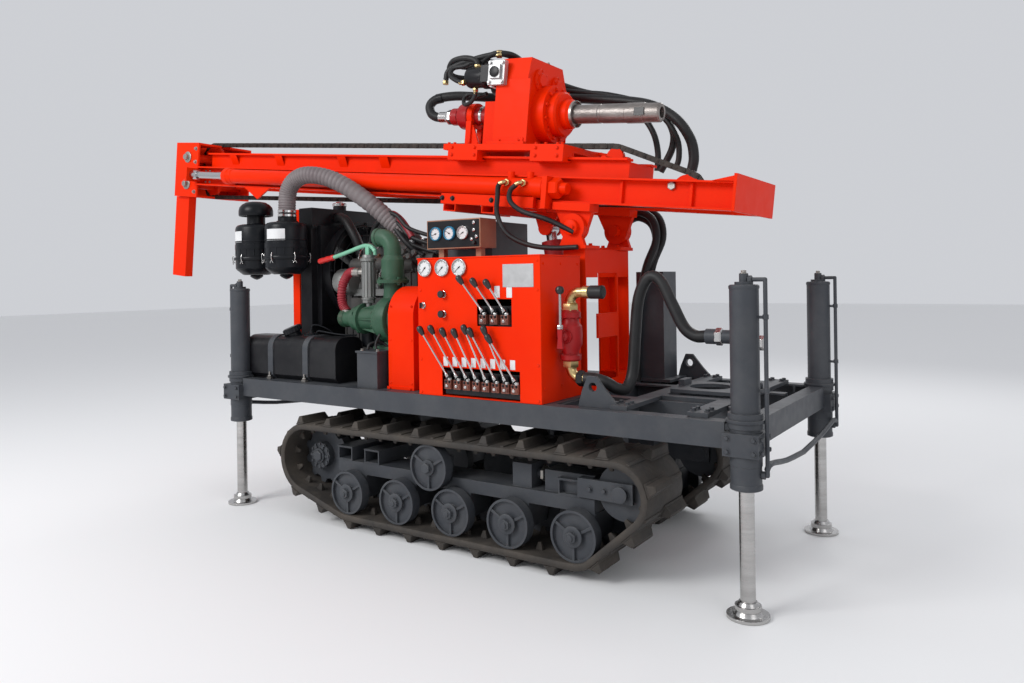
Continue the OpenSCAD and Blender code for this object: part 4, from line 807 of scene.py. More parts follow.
# Hoses on the deck and behind the column
deck_lines = Piece("deck_hoses_dressed", "hose_rubber")
deck_lines.tube([(672.4, -410, 806 + LOWER_BY), (700, -410, 806 + LOWER_BY), (738, -404, 722), (768, -384, 700),
                 (790, -346, 700), (800, -312, 760), (804, -296, 890), (816, -286, 1040), (856, -284, 1120),
                 (906, -286, 1110), (956, -291, 1020), (1004, -297, 934), (1050, -300, 903), (1092, -300, 903)], 45, 18)
deck_lines.fitting((690, -410, 806 + LOWER_BY), -X, 40)
for dx, dy, dz, d in ((0, 0, 0, 36), (-14, 26, -24, 32), (12, 50, 10, 32)):
    deck_lines.tube([(545 + dx, 274 + dy, 641.5), (545 + dx, 274 + dy, 760), (560 + dx, 274 + dy, 1000),
                     (598 + dx, 274 + dy, 1170 + dz), (648 + dx, 274 + dy, 1290 + dz), (632 + dx, 274 + dy, 1385 + dz),
                     (565 + dx, 274 + dy, 1425 + dz), (500 + dx, 274 + dy, 1402 + dz), (462, 266 + dy * 0.4, 1345),
                     (440, 254, 1270)], d, 16)
deck_lines.done("deck_hoses")

# Power head: swivel, motor, gearbox covers and hoses
SPIN_W = 507
swivel = Piece("swivel_and_motors", "dark_red_paint", "power_head", mast)
swivel.turned((-845, 0, SPIN_W), X, [(0, 30), (0, 42), (38, 42), (40, 38), (58, 38), (58, 60), (62, 62), (112, 62),
                                     (116, 58), (116, 46), (150, 44), (326, 44), (330, 50), (340, 59), (379.5, 59),
                                     (379.5, 0)], 40)
for k in range(6):
    a = math.tau * (k + 0.5) / 6
    swivel.bolt((-787, 48 * math.cos(a), SPIN_W + 48 * math.sin(a)), -X, 11)
    swivel.bolt((-505, 54 * math.cos(a), SPIN_W + 54 * math.sin(a)), -X, 9)
swivel.paint("red_paint")
for y in (-60, 30):
    swivel.box((-724, -694), (y, y + 30), (350.4, SPIN_W - 30))
    swivel.frustum([(-694, y + 10, 350.4), (-640, y + 10, 350.4), (-640, y + 20, 350.4), (-694, y + 20, 350.4)],
                   [(-694, y + 10, 460), (-688, y + 10, 460), (-688, y + 20, 460), (-694, y + 20, 460)])
swivel.turned((-724, 0, SPIN_W), X, [(0, 43), (0, 62), (30, 62), (30, 43)], 40, closed=True)
swivel.paint("bright_steel")
swivel.nut((-884, 0, SPIN_W), X, 64, 40)
swivel.turned((-934, 0, SPIN_W), X, [(0, 22), (2, 27), (46, 27), (50, 24)], 28)
swivel.turned((-668, 0, SPIN_W), X, [(0, 45), (3, 48), (16, 48), (19, 45)], 36)
swivel.paint("black_paint")
for y, r in ((-112, 48), (96, 44)):
    swivel.turned((-686, y, 668), X, [(0, 0), (0, r - 12), (6, r - 4), (14, r), (96, r), (98, r + 6), (122, r + 6),
                                      (124, r - 4), (170, r - 4)], 32)
    for k in range(8):
        a = math.tau * (k + 0.5) / 8
        swivel.bolt((-590, y + (r - 1) * math.cos(a), 668 + (r - 1) * math.sin(a)), -X, 8)
swivel.paint("silver_plate")
swivel.box((-520, -498), (-168, -56), (610, 726))
swivel.box((-520, -498), (44, 148), (616, 720))
swivel.paint("dark_red_paint")
swivel.box((-498, -465.3), (-160, -64), (618, 718))
swivel.box((-498, -465.3), (52, 140), (622, 712))
for y in (-158, -66):
    for z in (620, 716):
        swivel.bolt((-520, y, z), -X, 13)
swivel.paint("brass")
for y, z in ((-112, 716), (-84, 716), (-112, 620), (96, 712)):
    way = Z if z > 668 else -Z
    swivel.nut((-640, y, z), way, 24, 16)
    swivel.bar(Vector((-640, y, z)) + way * 14, way, 16, 20, 16)
swivel.nut((-676, -150, 640), -X, 26, 18)
swivel.bar((-694, -150, 640), -X, 14, 21, 16)
swivel.nut((-812, -126, 640), Z, 26, 20)
swivel.nut((-560, -74, 782), Vector((1, 0.4, 0)), 34, 26)
swivel.done("head_motors", bevel=1.2)

hoses = Piece("head_hoses_dressed", "hose_rubber", "power_head", mast)
far_side = [(-19, 214, 600), (120, 220, 574), (230, 226, 515), (300, 232, 430), (322, 238, 350), (316, 242, 290)]
hoses.tube([(-930, 0, SPIN_W), (-962, 0, SPIN_W + 3), (-1000, 4, 530), (-1018, 14, 573), (-985, 34, 608), (-900, 66, 624),
            (-806, 110, 626), (-700, 170, 626), (-560, 204, 624), (-420, 208, 622), (-270, 210, 618), *far_side], 46, 20)
hoses.tube([(-640, 96, 726), (-640, 100, 752), (-600, 140, 772), (-500, 205, 742), (-380, 236, 690), (-250, 250, 652),
            (-110, 252, 628), (32, 254, 594), (150, 256, 540), (205, 258, 465), (208, 260, 395), (182, 262, 330),
            (160, 262, 285)], 32, 14)
hoses.tube([(-640, -112, 728), (-644, -112, 742), (-672, -116, 756), (-728, -118, 762), (-790, -112, 750), (-822, -92, 716),
            (-812, -60, 690), (-750, 20, 690), (-690, 150, 694), (-590, 196, 690), (-440, 232, 668), (-200, 268, 628),
            (-60, 270, 596), (40, 270, 540), (106, 270, 460), (136, 270, 370), (140, 270, 290)], 28, 14)
hoses.tube([(-640, -84, 728), (-630, -84, 746), (-600, -86, 768), (-556, -78, 784), (-500, -40, 782), (-486, 30, 764),
            (-520, 110, 734), (-560, 170, 714), (-520, 200, 702), (-420, 216, 672), (-280, 222, 650),
            (-120, 226, 634), (60, 232, 590), (170, 236, 520), (236, 240, 430), (250, 244, 350), (238, 246, 296)], 26, 14)
hoses.tube([(-640, -112, 742), (-700, -104, 740), (-770, -84, 752), (-800, -50, 744), (-780, -6, 746), (-720, 30, 762),
            (-650, 60, 764), (-560, 90, 756), (-510, 140, 726), (-520, 186, 680)], 24, 14)
hoses.tube([(-812, -126, 664), (-806, -124, 700), (-770, -118, 728), (-700, -106, 750), (-620, -92, 770), (-540, -70, 782),
            (-500, -20, 772), (-500, 60, 750), (-530, 150, 700)], 26, 14)
hoses.tube([(-690, -150, 640), (-730, -150, 652), (-776, -140, 680), (-772, -124, 716), (-716, -112, 726), (-660, -100, 748),
            (-600, -60, 752), (-560, 10, 740), (-560, 90, 720)], 22, 12)
hoses.tube([(-640, -112, 606), (-642, -112, 584), (-662, -108, 560), (-700, -96, 548), (-735, -74, 560), (-742, -58, 590),
            (-720, -52, 606), (-680, -56, 600), (-650, -70, 592), (-600, -76, 600)], 20, 12)
hoses.paint("black_paint")
hoses.turned((-990, 30, 605), Vector((1, 0.35, 0.25)), [(0, 22), (0, 25), (30, 25), (30, 22)], 20, closed=True)
hoses.done("head_hoses")

head = Piece("gearbox_details", "red_paint", "power_head", mast)
for y, z, r in ((-70, 650, 50), (70, 650, 42)):
    head.turned((-313.5, y, z), X, [(0, r), (8, r), (12, r - 4), (12, r * 0.6), (20, r * 0.55), (20, 0)], 36)
    for k in range(6):
        a = math.tau * (k + 0.5) / 6
        head.bolt((-305, y + (r - 9) * math.cos(a), z + (r - 9) * math.sin(a)), X, 10)
for k in range(12):
    a = math.tau * (k + 0.5) / 12
    head.bolt((-247.6, 112 * math.cos(a), SPIN_W + 112 * math.sin(a)), X, 14)
head.turned((-212.8, 0, SPIN_W), X, [(0, 100), (0, 66), (8, 66), (8, 92)], 40, closed=True)
for s in (-1, 1):
    head.box((-480, -298), (s * 168 - 3, s * 168 + 3), (350.4, 640))
    head.prism([(-465, 352), (-313, 352), (-313, 380), (-465, 380)], 1, s * 168 - 1, s * 176)
    for u in (-440, -338):
        head.bolt((u, s * 176, 366), s * Y, 13)
    for u in (-724, -690, -610, -560, -240, -190, -130, -106):
        head.bolt((u, s * 176, 350), Z, 13)
    for u in (-690, -560, -230, -120):
        for w in (300, 334):
            head.bolt((u, s * 195, w), s * Y, 12)
head.box((-500, -300), (-190, -172), (350.4, 362))
head.paint("worn_steel")
for k in range(4):
    head.bolt((-455 + 45 * k, 0, 737), Z, 11)
# Slanted cover behind the head and the blank side plate
head.paint("red_paint")
head.prism([(-243, 350.5), (-243, 374), (60, 334), (60, 352 - 28)], 1, 124, 150)
head.paint("silver_plate")
head.box((-512, -424), (-196, -168.5), (614, 722))
head.box((-496, -440), (-210, -196), (640, 700))
for u in (-502, -434):
    for w in (625, 711):
        head.bolt((u, -196, w), -Y, 14)
head.paint("black_paint")
head.turned((-468, -210, 668), -Y, [(0, 24), (6, 24), (8, 16), (8, 0)], 20)
head.box((-560, -512), (-190, -150), (630, 706))
head.paint("red_paint")
head.turned((-213, 0, SPIN_W), X, [(0, 60), (4, 66), (40, 66), (46, 60), (54, 58)], 40)
head.done()

quill = Piece("spindle_dressed", "worn_steel", "drill_spindle", mast)
quill.turned((-459, 0, SPIN_W), X, [(0, 24), (0, 54), (246, 54), (246, 56), (300, 56), (302, 50), (306, 44), (320, 42),
                                    (430, 42), (432, 39), (444, 39), (446, 42), (560, 42), (562, 44), (640, 44), (644, 41),
                                    (712, 41), (718, 36), (718, 24)], 48, closed=True)
quill.paint("bare_steel")
quill.turned((-160, 0, SPIN_W), X, [(0, 57), (0, 60), (12, 60), (12, 57)], 40, closed=True)
quill.paint("black_knob")
for s in (-1, 1):
    quill.box((150, 196), (s * 43.6 - 1.2, s * 43.6 + 1.2), (SPIN_W - 17, SPIN_W + 17))
quill.done("spindle")

# Roller chain on its fixed loop
CHAIN = [(-2740, 106, 60), (400, 190, 60), (62, 318, 40), (-2740, 268, 90)]


def chain_path():
    n = len(CHAIN)

    def lean(i):
        (ax, az, ar), (bx, bz, br) = CHAIN[i % n], CHAIN[(i + 1) % n]
        return math.atan2(bz - az, bx - ax) + math.asin((ar - br) / math.hypot(bx - ax, bz - az))
    out = []
    for i, (x, z, r) in enumerate(CHAIN):
        start = lean(i - 1)
        turn = (lean(i) - start) % math.tau
        steps = max(1, round(turn / 0.12))
        out += [(x + (r + 7) * math.sin(start + turn * k / steps), z - (r + 7) * math.cos(start + turn * k / steps))
                for k in range(steps + 1)]
    return out + [out[0]]


chain = Piece("feed_chain_dressed", "chain_steel", "mast", mast)
path = chain_path()
far = [0.0]
for a, b in zip(path, path[1:]):
    far.append(far[-1] + math.dist(a, b))
links = round(far[-1] / 31.75 / 2) * 2
joints = []
for k in range(links):
    s = far[-1] * k / links
    i = next(j for j in range(len(far) - 1) if far[j + 1] >= s)
    t = (s - far[i]) / max(far[i + 1] - far[i], 1e-9)
    joints.append((path[i][0] + t * (path[i + 1][0] - path[i][0]), path[i][1] + t * (path[i + 1][1] - path[i][1])))
for k, (u, w) in enumerate(joints):
    nu, nw = joints[(k + 1) % links]
    way = Vector((nu - u, 0, nw - w)).normalized()
    over = Vector((-way.z, 0, way.x))
    chain.bar((u, -13.5, w), Y, 27, 9, 6)
    chain.bar((u, -6, w), Y, 12, 18, 8)
    y0, y1 = (10.2, 12.4) if k % 2 else (7.6, 9.8)
    a, b = Vector((u, 0, w)), Vector((nu, 0, nw))
    for s in (-1, 1):
        ring = [a - way * 9 - over * 6, a - over * 12, b - over * 12, b + way * 9 - over * 6,
                b + way * 9 + over * 6, b + over * 12, a + over * 12, a - way * 9 + over * 6]
        chain.faces([p + Y * (s * y) for y in (y0, y1) for p in ring],
                    [(i, (i + 1) % 8, 8 + (i + 1) % 8, 8 + i) for i in range(8)]
                    + [tuple(reversed(range(8))), tuple(range(8, 16))])
chain.done("feed_chain")

# Crown bolts, rod eye, and the chain wheels' shafts
top = Piece("mast_details", "bare_steel", "mast", mast)
for s in (-1, 1):
    for u, w in ((-2740, 268), (-2740, 106)):
        top.turned((u, s * 190, w), s * Y, [(0, 34), (6, 34), (8, 28), (8, 0)], 24)
        top.nut((u, s * 196, w), s * Y, 34, 20)
    for w in (60, 150, 240, 320):
        top.bolt((-2664, s * 190, w), s * Y, 16)
    for u in (-2600, -2560):
        for w in (125, 190):
            top.bolt((u, s * 152, w), s * Y, 14)
    top.nut((400, s * 152, 190), s * Y, 32, 18)
top.paint("red_paint")
for s in (-1, 1):
    for u in (-2300, -1600, -1100, 180, 480):
        top.box((u, u + 12), sorted((s * 157, s * 174)), (111, 204))
    for u in (-2400, -2000, -1500, -1200):
        top.frustum([(u, s * 108, 213.5), (u + 60, s * 108, 213.5), (u + 60, s * 104, 213.5), (u, s * 104, 213.5)],
                    [(u, s * 148, 290), (u + 60, s * 148, 290), (u + 60, s * 144, 290), (u, s * 144, 290)])
top.done(bevel=1.0)

# Feed cylinder: gland, nuts, elbows and its two hoses
feed = Piece("feed_cylinder_details", "red_paint", "cradle_frame", mast)
FEED_Y, FEED_W = -215, 160
feed.turned((-2322, FEED_Y, FEED_W), X, [(0, 25), (0, 44), (6, 47), (40, 47), (46, 43), (70, 43), (74, 41)], 36)
feed.turned((-205, FEED_Y, FEED_W), X, [(0, 41), (4, 45), (54, 45), (60, 40)], 36)
feed.paint("bare_steel")
feed.nut((-2338, FEED_Y, FEED_W), X, 60, 16)
feed.paint("red_paint")
feed.nut((-118, FEED_Y, FEED_W), X, 78, 45)
feed.bar((-80, FEED_Y, FEED_W), X, 41, 50, 24, 2)
feed.paint("brass")
for u in (-322, -236):
    feed.nut((u, FEED_Y - 40, FEED_W + 14), -Y, 30, 14)
    feed.tube([(u, FEED_Y - 52, FEED_W + 14), (u, FEED_Y - 62, FEED_W + 14), (u - 6, FEED_Y - 68, FEED_W + 12),
               (u - 22, FEED_Y - 70, FEED_W + 6)], 20, 14)
feed.paint("hose_rubber")
feed.tube([(-340, -285, 168), (-352, -280, 150), (-354, -276, 116), (-352, -272, 34), (-296, -268, -46), (-197, -255, -86),
           (-86, -240, -93), (40, -236, -80)], 22, 14)
feed.tube([(-256, -285, 164), (-282, -285, 140), (-286, -284, 105), (-264, -280, 76), (-209, -272, 49), (-120, -262, 30),
           (-59, -250, 10), (20, -240, -20)], 22, 14)
for u in (-700, -640, -420):
    feed.bolt((u, -228, 96), -Y, 15)
feed.done()

# Radiator: fins, top and bottom tanks with bolt rows, cap, shroud ring and guard wires
rad = Piece("radiator_details", "black_paint")
for z in (1407, 726):
    for k in range(14):
        y = -280 + 43 * k
        rad.bolt((-997, y, z), X, 12)
        rad.bolt((-1093, y, z), -X, 12)
rad.box((-1096, -1093), (-300, 300), (1398, 1414))
rad.box((-997.2, -994), (-300, 300), (1398, 1414))
rad.paint("fins")
for k in range(92):
    y = -275 + 6 * k
    rad.box((-1086.5, -1085), (y, y + 2), (724, 1396))
for k in range(40):
    z = 732 + 17 * k
    rad.box((-1088.5, -1086.5), (-278, 276), (z, z + 2.2))
rad.paint("bright_steel")
rad.turned((-1045, -60, 1527), Z, [(0, 35), (3, 38), (16, 38), (19, 33), (20, 20), (26, 18), (26, 0)], 30)
rad.paint("black_paint")
rad.turned((-926, 10, 1180), X, [(-2, 247), (-2, 262), (4, 262), (4, 247)], 60, closed=True)
for r in (240, 190, 140, 92, 48):
    rad.turned((-912, 10, 1180), X, [(-2.5, r), (0, r + 2.5), (2.5, r), (0, r - 2.5)], 48, closed=True)
for k in range(12):
    a = math.tau * k / 12
    rad.bar((-912, 10 + 48 * math.cos(a), 1180 + 48 * math.sin(a)), (0, math.cos(a), math.sin(a)), 206, 5, 8)
    if k % 3 == 0:
        rad.bar((-930, 10 + 254 * math.cos(a), 1180 + 254 * math.sin(a)), X, 22, 10, 10)
rad.paint("hose_rubber")
rad.tube([(-1010, -120, 1455), (-975, -122, 1462), (-930, -126, 1440), (-880, -128, 1380), (-850, -120, 1320),
          (-838, -110, 1262)], 52, 18)
rad.tube([(-1000, 190, 760), (-960, 190, 758), (-920, 192, 780), (-890, 190, 830), (-878, 186, 880)], 50, 18)
rad.done()

# Engine: covers, pulleys, belt, manifold, injection lines and filters over the plain block
engine = Piece("engine_details", "engine_paint")
engine.prism([(-120, 1250), (120, 1250), (120, 1296), (100, 1318), (-100, 1318), (-120, 1296)], 0, -840, -430)
for k in range(4):
    engine.box((-810 + 100 * k, -770 + 100 * k), (-90, 90), (1318, 1326))
    engine.turned((-790 + 100 * k, 0, 1326), Z, [(0, 14), (10, 12), (12, 6), (12, 0)], 16)
for k in range(11):
    x = -872 + 44 * k
    engine.box((x, x + 7), (-196, -190), (790, 1170))
engine.box((-884, -386), (-200, -190), (1165, 1185))
engine.box((-884, -386), (-200, -190), (762, 780))
for k in range(9):
    engine.bolt((-860 + 57 * k, -200, 1175), -Y, 13)
    engine.bolt((-860 + 57 * k, -200, 771), -Y, 13)
for z, y, r, t in ((960, 10, 92, 40), (1180, 10, 62, 40), (1110, -150, 48, 34)):
    engine.turned((-892 - t, y, z), X, [(0, r - 22), (0, r), (9, r - 8), (t / 2, r - 10), (t - 9, r - 8), (t, r), (t, r - 30),
                                        (t - 12, r - 34), (t - 12, 16)], 36)
engine.paint("hose_rubber")
spots = [(960, 10, 88), (1110, -150, 44), (1180, 10, 58)]
loop = []
for z, y, r in spots:
    loop += [(y + r * math.cos(math.tau * k / 40), z + r * math.sin(math.tau * k / 40)) for k in range(40)]


def hull(points):
    points = sorted(set(points))

    def half(ps):
        out = []
        for p in ps:
            while len(out) > 1 and (out[-1][0] - out[-2][0]) * (p[1] - out[-2][1]) \
                    <= (out[-1][1] - out[-2][1]) * (p[0] - out[-2][0]):
                out.pop()
            out.append(p)
        return out[:-1]
    return half(points) + half(points[::-1])


outer = hull(loop)
cy, cz = sum(p[0] for p in outer) / len(outer), sum(p[1] for p in outer) / len(outer)
inner = [(p[0] + (cy - p[0]) * 0.045, p[1] + (cz - p[1]) * 0.045) for p in outer]
n = len(outer)
engine.faces([(x, *p) for x in (-919, -905) for ring in (outer, inner) for p in ring],
             [(k, (k + 1) % n, 2 * n + (k + 1) % n, 2 * n + k) for k in range(n)]
             + [(n + k, n + (k + 1) % n, 3 * n + (k + 1) % n, 3 * n + k) for k in range(n)]
             + [(k, (k + 1) % n, n + (k + 1) % n, n + k) for k in range(n)]
             + [(2 * n + k, 2 * n + (k + 1) % n, 3 * n + (k + 1) % n, 3 * n + k) for k in range(n)])
engine.paint("grey_casting")
engine.turned((-852, -246, 1120), X, [(0, 20), (0, 58), (14, 66), (96, 66), (112, 56), (116, 20)], 30)
engine.turned((-560, -235, 930), -Y, [(0, 40), (60, 40), (66, 34), (70, 0)], 28)
engine.box((-760, -520), (-246, -190), (1050, 1084))
for k in range(4):
    engine.turned((-740 + 62 * k, -218, 1084), Z, [(0, 15), (22, 15), (26, 10), (34, 9), (34, 0)], 16)
engine.paint("bright_steel")
for k in range(4):
    engine.tube([(-740 + 62 * k, -218, 1116), (-742 + 66 * k, -216, 1150), (-770 + 90 * k, -204, 1200 + 8 * k),
                 (-786 + 100 * k, -170, 1270), (-790 + 100 * k, -126, 1300), (-790 + 100 * k, -88, 1322)], 7, 8)
engine.paint("rust")
for k in range(4):
    engine.tube([(-790 + 100 * k, -122, 1222), (-788 + 100 * k, -150, 1222), (-780 + 96 * k, -176, 1206)], 52, 14)
    for z in (1190, 1254):
        engine.bolt((-790 + 100 * k, -132, z), -Y, 12)
engine.paint("black_plastic")
for x in (-640, -560):
    engine.turned((x, -262, 800), Z, [(0, 0), (0, 30), (6, 38), (118, 38), (124, 34), (124, 0)], 28)
engine.paint("hose_rubber")
for dy, dz in ((0, 0), (-10, 40), (8, -36)):
    engine.tube([(-600, -212 + dy, 1452 + dz - 26), (-560, -214 + dy, 1446 + dz - 26), (-485, -214 + dy, 1400 + dz),
                 (-420, -212 + dy, 1340 + dz), (-330, -206 + dy, 1306 + dz), (-270, -190 + dy, 1290 + dz)], 20, 12)
engine.tube([(-700, -180, 1320), (-660, -200, 1380), (-600, -214, 1420), (-520, -216, 1392), (-440, -214, 1312),
             (-380, -210, 1262), (-330, -206, 1240)], 26, 12)
engine.paint("hose_red")
engine.tube([(-590, -170, 1448), (-540, -190, 1452), (-480, -200, 1420), (-430, -206, 1370), (-400, -208, 1330)], 34, 14)
engine.paint("grey_casting")
for x, z in ((-470, 1250), (-440, 1262), (-404, 1240), (-370, 1256), (-340, 1230)):
    engine.nut((x, -224, z), -Y, 26, 18)
    engine.bar((x, -206, z), -Y, 22, 18, 16)
engine.done(bevel=1.5)

# Water pump: casting ribs, flange bolts, nozzle and the priming hose
pump = Piece("water_pump_dressed", "green_paint")
px, py, pz = -395, -355, 944
pump.turned((px - 44, py, pz), X, [(0, 0), (0, 78), (6, 100), (16, 108), (60, 110), (72, 106), (78, 96), (78, 0)], 48)
pump.turned((px - 62, py, pz), X, [(0, 58), (2, 88), (16, 90), (22, 84)], 40)
pump.turned((px + 33, py, pz), X, [(0, 84), (10, 80), (14, 54), (48.7, 50), (48.7, 0)], 36)
pump.turned((px - 240, py, pz), X, [(0, 46), (4, 58), (40, 58), (44, 72), (64, 73), (68, 58), (120, 56), (150, 58),
                                    (182, 62)], 36)
pump.turned((px - 333, py, pz), X, [(0, 0), (0, 34), (6, 40), (20, 42), (36, 42), (40, 39), (96, 42)], 32)
for k in range(4):
    pump.turned((px - 322 + 7 * k, py, pz), X, [(0, 41), (1.5, 44), (4, 44), (5.5, 41)], 32, closed=True)
pump.turned((px, py, pz + 70), Z, [(0, 52), (24, 46), (70, 42), (98, 44), (98, 74), (114, 75), (116, 54), (122, 53),
                                   (206, 53), (216, 46), (226, 40)], 36)
bend = [(px - 65 + 65 * math.cos(math.radians(a)), py, pz + 318 + 65 * math.sin(math.radians(a))) for a in range(0, 91, 9)]
pump.tube([(px, py, pz + 280), *bend, (px - 84, py, pz + 383)], 80, 28, 2)
pump.turned((px - 76, py, pz + 383), -X, [(0, 40), (2, 44), (18, 44), (22, 34), (22, 0)], 30)
for k in range(8):
    a = math.tau * (k + 0.5) / 8
    pump.bolt((px - 62, py + 78 * math.cos(a), pz + 78 * math.sin(a)), -X, 14)
    if k % 2:
        pump.bolt((px + 64 * math.cos(a), py + 64 * math.sin(a), pz + 186), Z, 14)
        pump.bolt((px + 64 * math.cos(a), py + 64 * math.sin(a), pz + 168), -Z, 14)
        pump.bolt((px - 200, py + 65 * math.cos(a), pz + 65 * math.sin(a)), -X, 12)
for k in range(6):
    a = math.tau * k / 6
    c, s = math.cos(a), math.sin(a)
    pump.frustum([(px - 176, py + 57 * c - 4 * s, pz + 57 * s + 4 * c), (px - 60, py + 57 * c - 4 * s, pz + 57 * s + 4 * c),
                  (px - 60, py + 57 * c + 4 * s, pz + 57 * s - 4 * c), (px - 176, py + 57 * c + 4 * s, pz + 57 * s - 4 * c)],
                 [(px - 160, py + 60 * c - 3 * s, pz + 60 * s + 3 * c), (px - 60, py + 82 * c - 3 * s, pz + 82 * s + 3 * c),
                  (px - 60, py + 82 * c + 3 * s, pz + 82 * s - 3 * c), (px - 160, py + 60 * c + 3 * s, pz + 60 * s - 3 * c)])
pump.box((-462, -350), (-420, -304), (806.3, 820))
pump.box((-424, -380), (-385, -325), (819, 870))
pump.done("water_pump")

# Ribbed hand primer with its mint lever and red grip
prime = Piece("hand_primer_dressed", "grey_casting")
qx, qy = -550, -355
prime.turned((qx, qy, 1034), Z, [(0, 18), (0, 33), (8, 36), (12, 30), (180, 30), (184, 38), (196, 38), (200, 30), (214, 28),
                                 (214, 0)], 36)
for k in range(12):
    a = math.tau * k / 12
    c, s = math.cos(a), math.sin(a)
    prime.box((qx + 30 * c - 2.4, qx + 30 * c + 2.4), (qy + 30 * s - 2.4, qy + 30 * s + 2.4), (1048, 1212))
prime.bar((qx, qy, pz + 56), Z, 40, 28, 20)
prime.nut((qx, qy, 1018), Z, 52, 18)
prime.paint("mint_paint")
prime.box((qx - 8, qx + 14), (qy - 12, qy + 12), (1244, 1288))
prime.tube([(qx + 44, qy, 1262), (qx + 24, qy, 1284), (qx - 14, qy, 1292), (qx - 60, qy - 2, 1284),
            (qx - 140, qy - 5, 1262), (qx - 232, qy - 8, 1240)], 20, 14)
prime.bar((qx + 44, qy, 1246), Z, 30, 16, 16)
prime.paint("red_plastic")
prime.turned((qx - 222, qy - 8, 1242), Vector((-1, -0.02, -0.18)), [(0, 12), (4, 14), (20, 14), (24, 12.5), (44, 14.5), (64, 12.5),
                                                                   (84, 14.5), (102, 13), (108, 8), (108, 0)], 20)
prime.paint("hose_red")
prime.tube([(-639, -352, 1168), (-668, -354, 1166), (-694, -355, 1149), (-722, -355, 1108), (-732, -355, 1050),
            (-722, -355, 1005), (-694, -356, 975)], 42, 18, 12, rings=lambda i: 20.5 + 1.8 * (1 if i % 3 else -1))
prime.paint("bare_steel")
prime.turned((-650, -352, 1166), X, [(0, 16), (0, 22), (40, 22), (44, 16), (74, 14)], 20)
prime.turned((-696, -356, 985), -Z, [(0, 20), (0, 24), (12, 24), (12, 20)], 20, closed=True)
prime.done("hand_primer")

# Belt guard and battery box details
guard = Piece("guard_details", "red_paint")
for z in (670, 860, 1010):
    for x in (-300, -178):
        guard.dome((x, -480, z), -Y, 12)
guard.box((-318, -160), (-486, -479.8), (DECK + 0.5, DECK + 12))
for x in (-300, -180):
    guard.bolt((x, -486, DECK + 6), -Y, 10)
guard.paint("slate_paint")
guard.box((-474, -339), (-526, -296), (800, 808))
guard.paint("bare_steel")
for x in (-455, -360):
    guard.bolt((x, -500, 808), Z, 12)
guard.paint("hose_rubber")
guard.tube([(-440, -480, 812), (-436, -470, 834), (-420, -440, 842), (-402, -420, 836), (-380, -410, 818)], 14, 10)
guard.tube([(-400, -440, 880), (-410, -452, 850), (-408, -462, 828), (-396, -468, 812)], 12, 10)
guard.done()

# Legs: collars, ports and bolts
legs = Piece("leg_details", "slate_paint")
for sx in (-1, 1):
    for sy in (-1, 1):
        x, y = sx * LEG_X, sy * LEG_Y
        legs.turned((x, y, 640), Z, [(0, 52), (0, 62), (4, 64), (12, 64), (14, 52)], 40)
        legs.turned((x, y, 422), Z, [(-3, 46), (0, 53), (14, 53), (18, 51.5)], 40)
        legs.turned((x, y, 1078), Z, [(0, 47.5), (4, 49.5), (12, 49.5), (16, 44), (16, 0)], 40)
        for z in (472, 1110):
            legs.nut((x + sx * (50 if z < 600 else 14), y, z), sx * X, 24, 14)
        for z in (740, 980):
            legs.turned((x + sx * 70, y, z), Z, [(0, 7.2), (0, 10), (16, 10), (16, 7.2)], 14, closed=True)
            legs.box((x + sx * 45 if sx > 0 else x - 66, x + 66 if sx > 0 else x - 45), (y - 5, y + 5), (z + 2, z + 12))
        for dy in (-44, 44):
            for z in (550, 594):
                legs.bolt((x + sx * 60, y + dy, z), sx * X, 14)
                legs.bolt((x + dy, y + sy * 61, z), sy * Y, 14)
legs.paint("bare_steel")
for sx in (-1, 1):
    for sy in (-1, 1):
        legs.bolt((sx * LEG_X, sy * LEG_Y, 1130), Z, 16)
legs.done(bevel=1.0)

# Deck: welds, plate bolts, manifold fittings, lock bushes and the column's stiffeners
deck_bits = Piece("deck_details", "slate_paint")
for s in (-1, 1):
    for x in range(-1200, 1201, 300):
        deck_bits.box((x - 4, x + 4), (s * 484 - 1, s * 492) if s > 0 else (-492, -483), (560, 636))
    for x in (812, 856, 1108, 1158):
        for y in (440, 478):
            deck_bits.bolt((x, s * y, 657.3), Z, 16)
    deck_bits.turned((722, s * 481 + (7 if s > 0 else -7) - s * 14, 716), s * Y, [(-3, 17.5), (-3, 26), (17, 26), (17, 17.5)], 28,
                     closed=True)
    for x in (700, 800):
        deck_bits.bolt((x, s * 470, 641.5), Z, 15)
deck_bits.paint("bright_steel")
deck_bits.nut((1128, -300, 903), X, 56, 26)
deck_bits.nut((1284, -300, 885), X, 46, 22)
deck_bits.bolt((1210, -300, 1071), Z, 30)
deck_bits.paint("red_paint")
deck_bits.prism([(1196, 955), (1224, 955), (1230, 985), (1216, 1000), (1204, 1000), (1190, 985)], 1, -334, -322)
deck_bits.done()

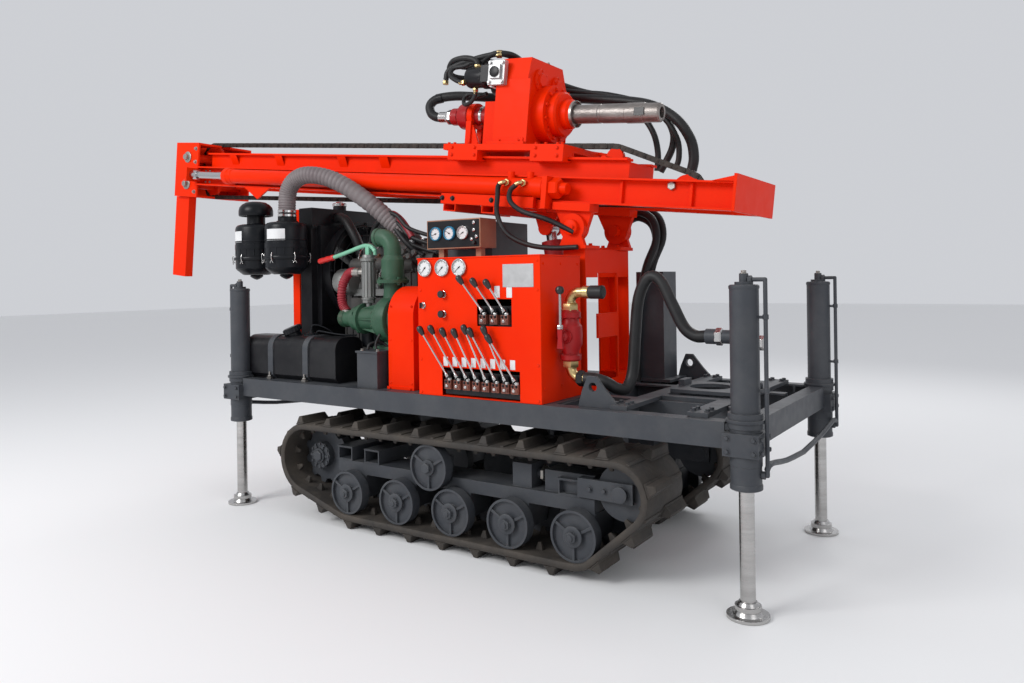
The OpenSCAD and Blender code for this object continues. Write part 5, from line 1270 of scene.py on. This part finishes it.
column = Piece("column_details", "red_paint")
for s in (-1, 1):
    for x in (450, 525):
        for y in (130, 212):
            column.bolt((x, s * y, 655), Z, 16)
            column.bolt((x, s * y, 1259), Z, 16)
    column.turned((490, s * 238, 1335), s * Y, [(0, 33), (6, 33), (9, 28), (9, 0)], 30)
    column.bolt((505, s * 247, 1335), s * Y, 12)
    column.prism([(150, 656), (205, 656), (205, 700)], 0, 541, 549) if s > 0 else \
        column.prism([(-150, 656), (-205, 656), (-205, 700)], 0, 541, 549)
    column.frustum([(441, s * 205, 700), (533, s * 205, 700), (533, s * 209, 700), (441, s * 209, 700)],
                   [(441, s * 205, 708), (533, s * 205, 708), (533, s * 209, 708), (441, s * 209, 708)])
column.paint("bare_steel")
for s in (-1, 1):
    column.turned((345, s * 70, 760), s * Y, [(0, 14), (6, 18), (8, 18), (8, 0)], 20)
column.done(bevel=1.0)

# Track wheels: hub nuts, grease caps, tensioner screw and drive motor bolts
wheels = Piece("track_wheel_details", "slate_paint")
for s in (-1, 1):
    for x in (-523, -225, 72, 358, 655):
        wheels.turned((x, s * 543, ROLLER_Z), s * Y, [(0, 40), (4, 40), (6, 36), (6, 24)], 30)
        wheels.nut((x, s * 549, ROLLER_Z), s * Y, 40, 15)
        wheels.turned((x, s * 563, ROLLER_Z), s * Y, [(0, 12), (6, 11), (8, 0)], 16)
    wheels.nut((-42, s * 549, 333), s * Y, 40, 14)
    wheels.nut((-790, s * 462, 285), s * Y, 48, 14)
    for k in range(12):
        a = math.tau * k / 12
        wheels.bolt((-790 + 56 * math.cos(a), s * 452, 285 + 56 * math.sin(a)), s * Y, 12)
    wheels.paint("bare_steel")
    wheels.turned((421, s * 393, 340), X, [(k * 3, 17 + (k % 2) * 2.5) for k in range(20)], 20)
    wheels.nut((440, s * 393, 340), X, 58, 16)
wheels.paint("slate_paint")
for s in (-1, 1):
    for x in (-598, -430, 600):
        for dz in (-1, 1):
            wheels.box((x - 47, x + 47), (s * 393 - 84, s * 393 + 84), (321 + dz * 31 - 2, 321 + dz * 31 + 2))
    wheels.turned((830, s * 502, 330), s * Y, [(0, 30), (5, 30), (7, 22), (7, 0)], 24)
    for x in (700, 760):
        wheels.bolt((x, s * 487, 332), s * Y, 16)
wheels.done()
